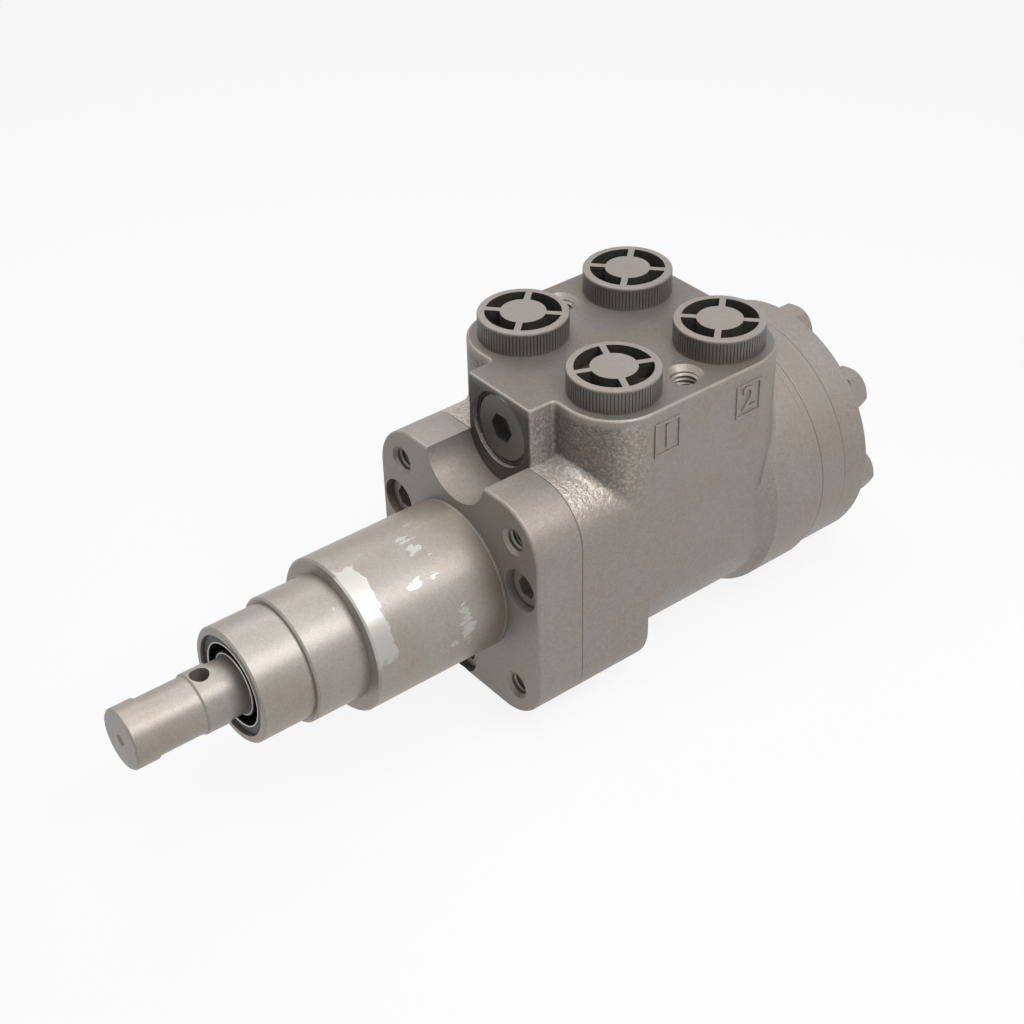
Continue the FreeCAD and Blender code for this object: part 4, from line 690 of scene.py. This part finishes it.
def finishes():
    """Every finish by the name of its slot."""
    made = {
        "painted_casting": painted_casting(),
        "painted_column": painted_column(),
        "painted_steel": painted_steel("painted_steel", colours().paint, 0.44, 0.03),
        "shaft_steel": painted_steel("shaft_steel", colours().column_paint, 0.42, 0.02),
        "valve_steel": plain_metal("valve_steel", colours().ground_steel, 0.25),
        "seal_rubber": seal_rubber(),
        "dark_steel": dark_plug(),
        "cap_plastic": cap_plastic(),
        "window_floor": window_floor(),
    }
    for name, (colour, rough) in PLAIN_METALS.items():
        made[name] = plain_metal(name, colour, rough)
    return made


# Modelling helpers

def deselect():
    if bpy.context.mode != "OBJECT":
        bpy.ops.object.mode_set(mode="OBJECT")
    bpy.ops.object.select_all(action="DESELECT")


def take(piece):
    """Makes a piece the only one selected and the active one."""
    deselect()
    piece.select_set(True)
    bpy.context.view_layer.objects.active = piece


def edit(piece):
    take(piece)
    bpy.ops.object.mode_set(mode="EDIT")


def leave_edit():
    bpy.ops.object.mode_set(mode="OBJECT")


def pick(kind, wanted):
    """Selects the faces, edges or vertices of the mesh in edit mode that pass a test."""
    mesh = bmesh.from_edit_mesh(bpy.context.edit_object.data)
    bpy.ops.mesh.select_mode(type={"faces": "FACE", "edges": "EDGE", "verts": "VERT"}[kind])
    bpy.ops.mesh.select_all(action="DESELECT")
    for item in getattr(mesh, kind):
        item.select_set(bool(wanted(item)))
    mesh.select_flush_mode()
    bmesh.update_edit_mesh(bpy.context.edit_object.data)


def settle(piece, name, body, material):
    """Puts a piece's place into its mesh, names it and says what it rides on."""
    take(piece)
    bpy.ops.object.transform_apply(location=True, rotation=True, scale=True)
    piece.name = name
    piece.data.name = name
    piece.data.materials.clear()
    piece.data.materials.append(material)
    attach(piece, body)
    return piece


def modify(piece, kind, **settings):
    """Adds a modifier and applies it."""
    take(piece)
    modifier = piece.modifiers.new(kind.title(), kind)
    for name, value in settings.items():
        setattr(modifier, name, value)
    bpy.ops.object.modifier_apply(modifier=modifier.name)


def copied(piece):
    twin = piece.copy()
    twin.data = piece.data.copy()
    bpy.context.scene.collection.objects.link(twin)
    return twin


def discard(*pieces):
    for piece in pieces:
        bpy.data.objects.remove(piece)


def drum(radius, bottom, top, sides):
    """A cylinder on the world's Z axis as a new object."""
    deselect()
    bpy.ops.mesh.primitive_cylinder_add(vertices=sides, radius=radius, depth=top - bottom,
                                        location=(0, 0, (bottom + top) / 2))
    return bpy.context.active_object


def shape(piece, places):
    """Moves a piece's vertices, in their order, to the places given."""
    edit(piece)
    mesh = bmesh.from_edit_mesh(piece.data)
    for vertex, place in zip(mesh.verts, places):
        vertex.co = place
    bmesh.update_edit_mesh(piece.data)
    leave_edit()


def weld(piece, open_ends=False):
    """Merges doubled vertices, closes open ends where there are some, and turns the faces outwards."""
    edit(piece)
    bpy.ops.mesh.select_all(action="SELECT")
    bpy.ops.mesh.remove_doubles(threshold=WELD)
    if open_ends:
        bpy.ops.mesh.fill_holes(sides=8)
        bpy.ops.mesh.select_all(action="SELECT")
    bpy.ops.mesh.normals_make_consistent(inside=False)
    leave_edit()


def thread(name, wall, pitch, length):
    """A closed coil of thread inside a hole that opens towards +Z at the origin."""
    deselect()
    bpy.ops.mesh.primitive_circle_add(vertices=4, radius=pitch / 2, fill_type="NGON")
    coil = bpy.context.active_object
    outer = wall + 0.1 * MM
    inner = wall - sizes().thread_depth
    flank = pitch * 0.47
    crest = pitch * 0.08
    shape(coil, ((outer, 0.0, -flank), (inner, 0.0, -crest), (inner, 0.0, crest), (outer, 0.0, flank)))
    modify(coil, "SCREW", axis="Z", screw_offset=-pitch, iterations=int(length / pitch), steps=36,
           render_steps=36, use_merge_vertices=True, merge_threshold=WELD)
    weld(coil, open_ends=True)
    bpy.ops.object.shade_smooth_by_angle(angle=math.radians(40))
    coil.name = name
    return coil


class STEERINGUNIT_OT_finishes(bpy.types.Operator):
    """Give every solid of the frame its paint, metal or rubber"""
    bl_idname = "steering_unit.finishes"
    bl_label = "Finish the solids"

    def execute(self, context):
        dress(finishes())
        return {"FINISHED"}


class STEERINGUNIT_OT_mount_threads(bpy.types.Operator):
    """Cut threads in the four tapped holes of the flange"""
    bl_idname = "steering_unit.mount_threads"
    bl_label = "Flange threads"

    def execute(self, context):
        given = sizes()
        coil = thread("mount_thread", given.mount_hole, given.mount_thread_pitch, given.mount_thread_length)
        half = given.mount_pitch / 2
        start = FLANGE_FACE + given.mount_thread_start
        steel = bpy.data.materials["painted_steel"]
        for across, across_name in ((-half, "left"), (half, "right")):
            for up, up_name in ((-half, "lower"), (half, "upper")):
                piece = copied(coil)
                piece.matrix_world = (Matrix.Translation((across, start, up))
                                      @ Matrix.Rotation(math.radians(90), 4, "X"))
                settle(piece, f"mount_thread_{up_name}_{across_name}", "root", steel)
        discard(coil)
        return {"FINISHED"}


class STEERINGUNIT_OT_top_threads(bpy.types.Operator):
    """Cut threads in the two tapped holes of the port face"""
    bl_idname = "steering_unit.top_threads"
    bl_label = "Port face threads"

    def execute(self, context):
        given = sizes()
        coil = thread("top_thread", given.top_hole, given.top_thread_pitch, given.top_thread_length)
        station = (middle("port_cap_tank").y + middle("port_cap_pressure").y) / 2
        start = PORT_FACE - given.top_thread_start
        steel = bpy.data.materials["painted_steel"]
        for side, name in ((-1, "left"), (1, "right")):
            piece = copied(coil)
            piece.location = (side * given.top_spacing / 2, station, start)
            settle(piece, f"top_thread_{name}", "root", steel)
        discard(coil)
        return {"FINISHED"}


def turned(name, outline):
    """A closed ring round the column's axis; its outline gives radius and place along the axis."""
    sides = 96
    deselect()
    bpy.ops.mesh.primitive_circle_add(vertices=len(outline), radius=1 * MM)
    ring = bpy.context.active_object
    shape(ring, [(radius, along, 0.0) for radius, along in outline])
    modify(ring, "SCREW", axis="Y", angle=2 * math.pi, screw_offset=0.0, iterations=1, steps=sides,
           render_steps=sides, use_merge_vertices=True, merge_threshold=WELD)
    weld(ring)
    bpy.ops.object.shade_smooth_by_angle(angle=math.radians(50))
    ring.name = name
    return ring


class STEERINGUNIT_OT_seal_edges(bpy.types.Operator):
    """Turn the two thin metal edges of the dust seal in the column's mouth"""
    bl_idname = "steering_unit.seal_edges"
    bl_label = "Seal edges"

    def execute(self, context):
        face = low("dust_seal").y
        steel = bpy.data.materials["spring_steel_bright"]
        corner = 0.1
        for name, (inner, outer, front, back) in SEAL_EDGES.items():
            outline = [(inner, back), (inner, front + corner), (inner + corner, front),
                       (outer - corner, front), (outer, front + corner), (outer, back)]
            ring = turned(name, [(radius * MM, face + along * MM) for radius, along in outline])
            settle(ring, name, "root", steel)
        return {"FINISHED"}


def cap_windows(top, given):
    """The cutter for a cap's four windows, standing on the world's origin."""
    depth = given.cap_window_depth
    cutter = drum(given.cap_window, top - depth, top + depth, 96)
    tools = [drum(given.cap_disc, top - 2 * depth, top + 2 * depth, 96)]
    for turn in (0, 90):
        deselect()
        bpy.ops.mesh.primitive_cube_add(size=1.0, location=(0, 0, top), rotation=(0, 0, math.radians(turn)),
                                        scale=(4 * given.cap_window, given.cap_spoke, 4 * depth))
        tools.append(bpy.context.active_object)
    for tool in tools:
        modify(cutter, "BOOLEAN", operation="DIFFERENCE", object=tool, solver="EXACT")
    discard(*tools)
    return cutter


def port_cap(given, radius, bottom, top):
    """One cap on the world's origin: ribbed side, rounded rim, windows, spokes and middle disc."""
    foot, rim, round_side, round_top = 0.5 * MM, 0.6 * MM, 0.42 * MM, 0.18 * MM
    shoulder, crown = radius - 0.25 * MM, radius - 0.7 * MM
    ribbed = top - bottom - (foot + rim + round_side + round_top)
    sides = 4 * given.cap_ribs
    step = 2 * math.pi / sides
    cap = drum(radius, bottom, bottom + foot, sides)
    edit(cap)
    pick("faces", lambda face: face.normal.z > 0.9)
    for rise, shrink in ((ribbed, None), (rim, None), (round_side, shoulder / radius),
                         (round_top, crown / shoulder)):
        bpy.ops.mesh.extrude_region_move(TRANSFORM_OT_translate={"value": (0, 0, rise)})
        if shrink:
            bpy.ops.transform.resize(value=(shrink, shrink, 1.0))
    bpy.context.edit_object.update_from_editmode()

    def between_ribs(face):
        centre = cap.matrix_world @ face.calc_center_median()
        if abs(face.normal.z) > 0.1 or not bottom + foot < centre.z < bottom + foot + ribbed:
            return False
        return math.floor(math.atan2(centre.y, centre.x) / step) % 4 == 0

    pick("faces", between_ribs)
    bpy.ops.mesh.inset(thickness=0.06 * MM, depth=-given.cap_groove, use_individual=True)
    leave_edit()
    take(cap)
    bpy.ops.object.transform_apply(location=True)
    cutter = cap_windows(top, given)
    modify(cap, "BOOLEAN", operation="DIFFERENCE", object=cutter, solver="EXACT")
    discard(cutter)
    take(cap)
    bpy.ops.object.shade_smooth_by_angle(angle=math.radians(35))
    return cap


class STEERINGUNIT_OT_port_caps(bpy.types.Operator):
    """Model one port cap with its ribs and windows, and set four of them in the ports"""
    bl_idname = "steering_unit.port_caps"
    bl_label = "Port caps"

    def execute(self, context):
        given = sizes()
        radius = (high("port_cap_left").x - low("port_cap_left").x) / 2
        model = port_cap(given, radius, PORT_FACE, CAP_TOP)
        spigot = drum(given.cap_spigot, low("port_cap_left").z, PORT_FACE + 1 * MM, 64)
        modify(model, "BOOLEAN", operation="UNION", object=spigot, solver="EXACT")
        discard(spigot)
        plastic, dark = (bpy.data.materials[name] for name in ("cap_plastic", "window_floor"))
        for name, (body, turn) in CAPS.items():
            piece = copied(model)
            centre = middle(name)
            piece.matrix_world = (Matrix.Translation((centre.x, centre.y, 0))
                                  @ Matrix.Rotation(math.radians(turn), 4, "Z"))
            settle(piece, name + "_moulding", body, plastic)
            piece.data.materials.append(dark)
            # The windows' faces take window_floor's painted shade
            for face in piece.data.polygons:
                beyond = math.hypot(face.center.x - centre.x, face.center.y - centre.y)
                in_window = beyond < given.cap_window + 0.1 * MM
                if in_window and PORT_FACE < face.center.z < CAP_TOP - 1.0 * MM:
                    face.material_index = 1
            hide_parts(name)
        discard(model)
        return {"FINISHED"}


def port_mark(text, y, z, given):
    """A cast numeral and its frame on the right side of the block."""
    relief = given.mark_relief
    place = (Matrix.Translation((SIDE_WALL + relief / 2, y, z)) @ Matrix.Rotation(math.radians(90), 4, "Z")
             @ Matrix.Rotation(math.radians(90), 4, "X"))
    deselect()
    bpy.ops.object.text_add(location=(0, 0, 0))
    numeral = bpy.context.active_object
    numeral.data.body = text
    numeral.data.align_x = "CENTER"
    numeral.data.align_y = "CENTER"
    numeral.data.size = given.mark_height
    numeral.data.extrude = relief / 2 + 0.1 * MM
    numeral.data.bevel_depth = 0.12 * MM
    bpy.ops.object.convert(target="MESH")
    deselect()
    bpy.ops.mesh.primitive_plane_add(size=1.0, location=(0, 0, 0))
    border = bpy.context.active_object
    border.scale = (*given.mark_frame, 1.0)
    bpy.ops.object.transform_apply(scale=True)
    edit(border)
    bpy.ops.mesh.select_all(action="SELECT")
    bpy.ops.mesh.inset(thickness=given.mark_line)
    bpy.ops.mesh.delete(type="FACE")
    leave_edit()
    modify(border, "SOLIDIFY", thickness=relief + 0.3 * MM, offset=0.0)
    modify(border, "BEVEL", width=0.14 * MM, segments=2, limit_method="ANGLE")
    for piece in (numeral, border):
        piece.matrix_world = place
    return numeral, border


class STEERINGUNIT_OT_port_marks(bpy.types.Operator):
    """Cast a framed numeral beside the two right-hand ports"""
    bl_idname = "steering_unit.port_marks"
    bl_label = "Port numerals"

    def execute(self, context):
        paint = bpy.data.materials["painted_casting"]
        for text, (y, z) in PORT_MARKS.items():
            numeral, border = port_mark(text, y, z, sizes())
            settle(numeral, f"port_numeral_{text}", "root", paint)
            settle(border, f"port_numeral_frame_{text}", "root", paint)
        return {"FINISHED"}


class STEERINGUNIT_OT_stage(bpy.types.Operator):
    """Set the floor, the lamps and the camera"""
    bl_idname = "steering_unit.stage"
    bl_label = "Stage"

    def execute(self, context):
        floor()
        for name, (place, size, power) in LAMPS.items():
            lamp(name, place, size, power)
        world()
        camera()
        return {"FINISHED"}


def seen(tree):
    """1 for what the camera sees, straight or by a reflection, and 0 for light on the object."""
    path = tree.nodes.new("ShaderNodeLightPath").outputs
    return highest(tree, [path[f"Is {ray} Ray"] for ray in ("Camera", "Glossy", "Transmission")])


def floor():
    """A wide pale floor that shows white and still takes the unit's shadow."""
    deselect()
    bpy.ops.mesh.primitive_plane_add(size=8.0, location=(0, 0, CAD_BOX[0][2]))
    ground = bpy.context.active_object
    ground.name = "floor"
    material, tree, shader = new_material("floor")
    feed(tree, shader, Base_Color=(0.9, 0.9, 0.9, 1.0), Roughness=0.9)
    glow = node(tree, "ShaderNodeEmission", {"Color": (1.0, 1.0, 1.0, 1.0), "Strength": 1.0}).outputs[0]
    mixed = node(tree, "ShaderNodeMixShader",
                 {0: times(tree, seen(tree), FLOOR_GLOW), 1: shader.outputs[0], 2: glow}).outputs[0]
    tree.links.new(mixed, tree.nodes["Material Output"].inputs["Surface"])
    ground.data.materials.append(material)


def lamp(name, place, size, power):
    """A soft square lamp that points at the middle of the unit."""
    deselect()
    bpy.ops.object.light_add(type="AREA", location=place)
    light = bpy.context.active_object
    light.name = name
    light.data.size = size
    light.data.energy = power
    aim = (Vector(CAD_BOX[0]) + Vector(CAD_BOX[1])) / 2
    light.rotation_euler = (aim - Vector(place)).to_track_quat("-Z", "Y").to_euler()


def world():
    """A white surround that gives the object little light."""
    space = bpy.data.worlds.new("studio")
    bpy.context.scene.world = space
    space.use_nodes = True
    tree = space.node_tree
    strength = ramp(tree, seen(tree), 0.0, 1.0, SKY_LIGHT, 1.0, smooth=False)
    back = tree.nodes["Background"]
    back.inputs["Color"].default_value = (1.0, 1.0, 1.0, 1.0)
    tree.links.new(strength, back.inputs["Strength"])


def camera():
    """A long lens from the front right, above."""
    turn, rise, roll = (math.radians(angle) for angle in CAMERA_ANGLES)
    back = Vector((math.sin(turn) * math.cos(rise), -math.cos(turn) * math.cos(rise), math.sin(rise)))
    right = Vector((math.cos(turn), math.sin(turn), 0.0))
    up = back.cross(right)
    level = Matrix((right * math.cos(roll) + up * math.sin(roll),
                    up * math.cos(roll) - right * math.sin(roll), back)).transposed()
    bpy.ops.object.camera_add()
    eye = bpy.context.active_object
    eye.matrix_world = Matrix.Translation(CAMERA_PLACE) @ level.to_4x4()
    eye.data.sensor_width = 36.0
    eye.data.lens = CAMERA_LENS
    eye.data.clip_start = 0.01
    bpy.context.scene.camera = eye
    bpy.context.scene.view_settings.view_transform = "Standard"


class STEERINGUNIT_PT_panel(bpy.types.Panel):
    """The steering unit's sizes, colours and steps"""
    bl_idname = "STEERINGUNIT_PT_panel"
    bl_label = "Steering Unit"
    bl_space_type = "VIEW_3D"
    bl_region_type = "UI"
    bl_category = "Steering Unit"

    def draw(self, context):
        column = self.layout.column()
        for given in (sizes(), colours()):
            for name in given.__annotations__:
                column.prop(given, name)
        for step in STEPS:
            column.operator(step.bl_idname)


STEPS = (
    STEERINGUNIT_OT_stage,
    STEERINGUNIT_OT_finishes,
    STEERINGUNIT_OT_mount_threads,
    STEERINGUNIT_OT_top_threads,
    STEERINGUNIT_OT_seal_edges,
    STEERINGUNIT_OT_port_caps,
    STEERINGUNIT_OT_port_marks,
)
CLASSES = (SteeringUnitSizes, SteeringUnitColours, *STEPS, STEERINGUNIT_PT_panel)


def register():
    for item in CLASSES:
        bpy.utils.register_class(item)
    bpy.types.Scene.steering_unit_sizes = PointerProperty(type=SteeringUnitSizes)
    bpy.types.Scene.steering_unit_colours = PointerProperty(type=SteeringUnitColours)


def unregister():
    del bpy.types.Scene.steering_unit_colours
    del bpy.types.Scene.steering_unit_sizes
    for item in reversed(CLASSES):
        bpy.utils.unregister_class(item)


def main():
    register()
    for step in STEPS:
        family, name = step.bl_idname.split(".")
        getattr(getattr(bpy.ops, family), name)()


if __name__ == "__main__":
    main()
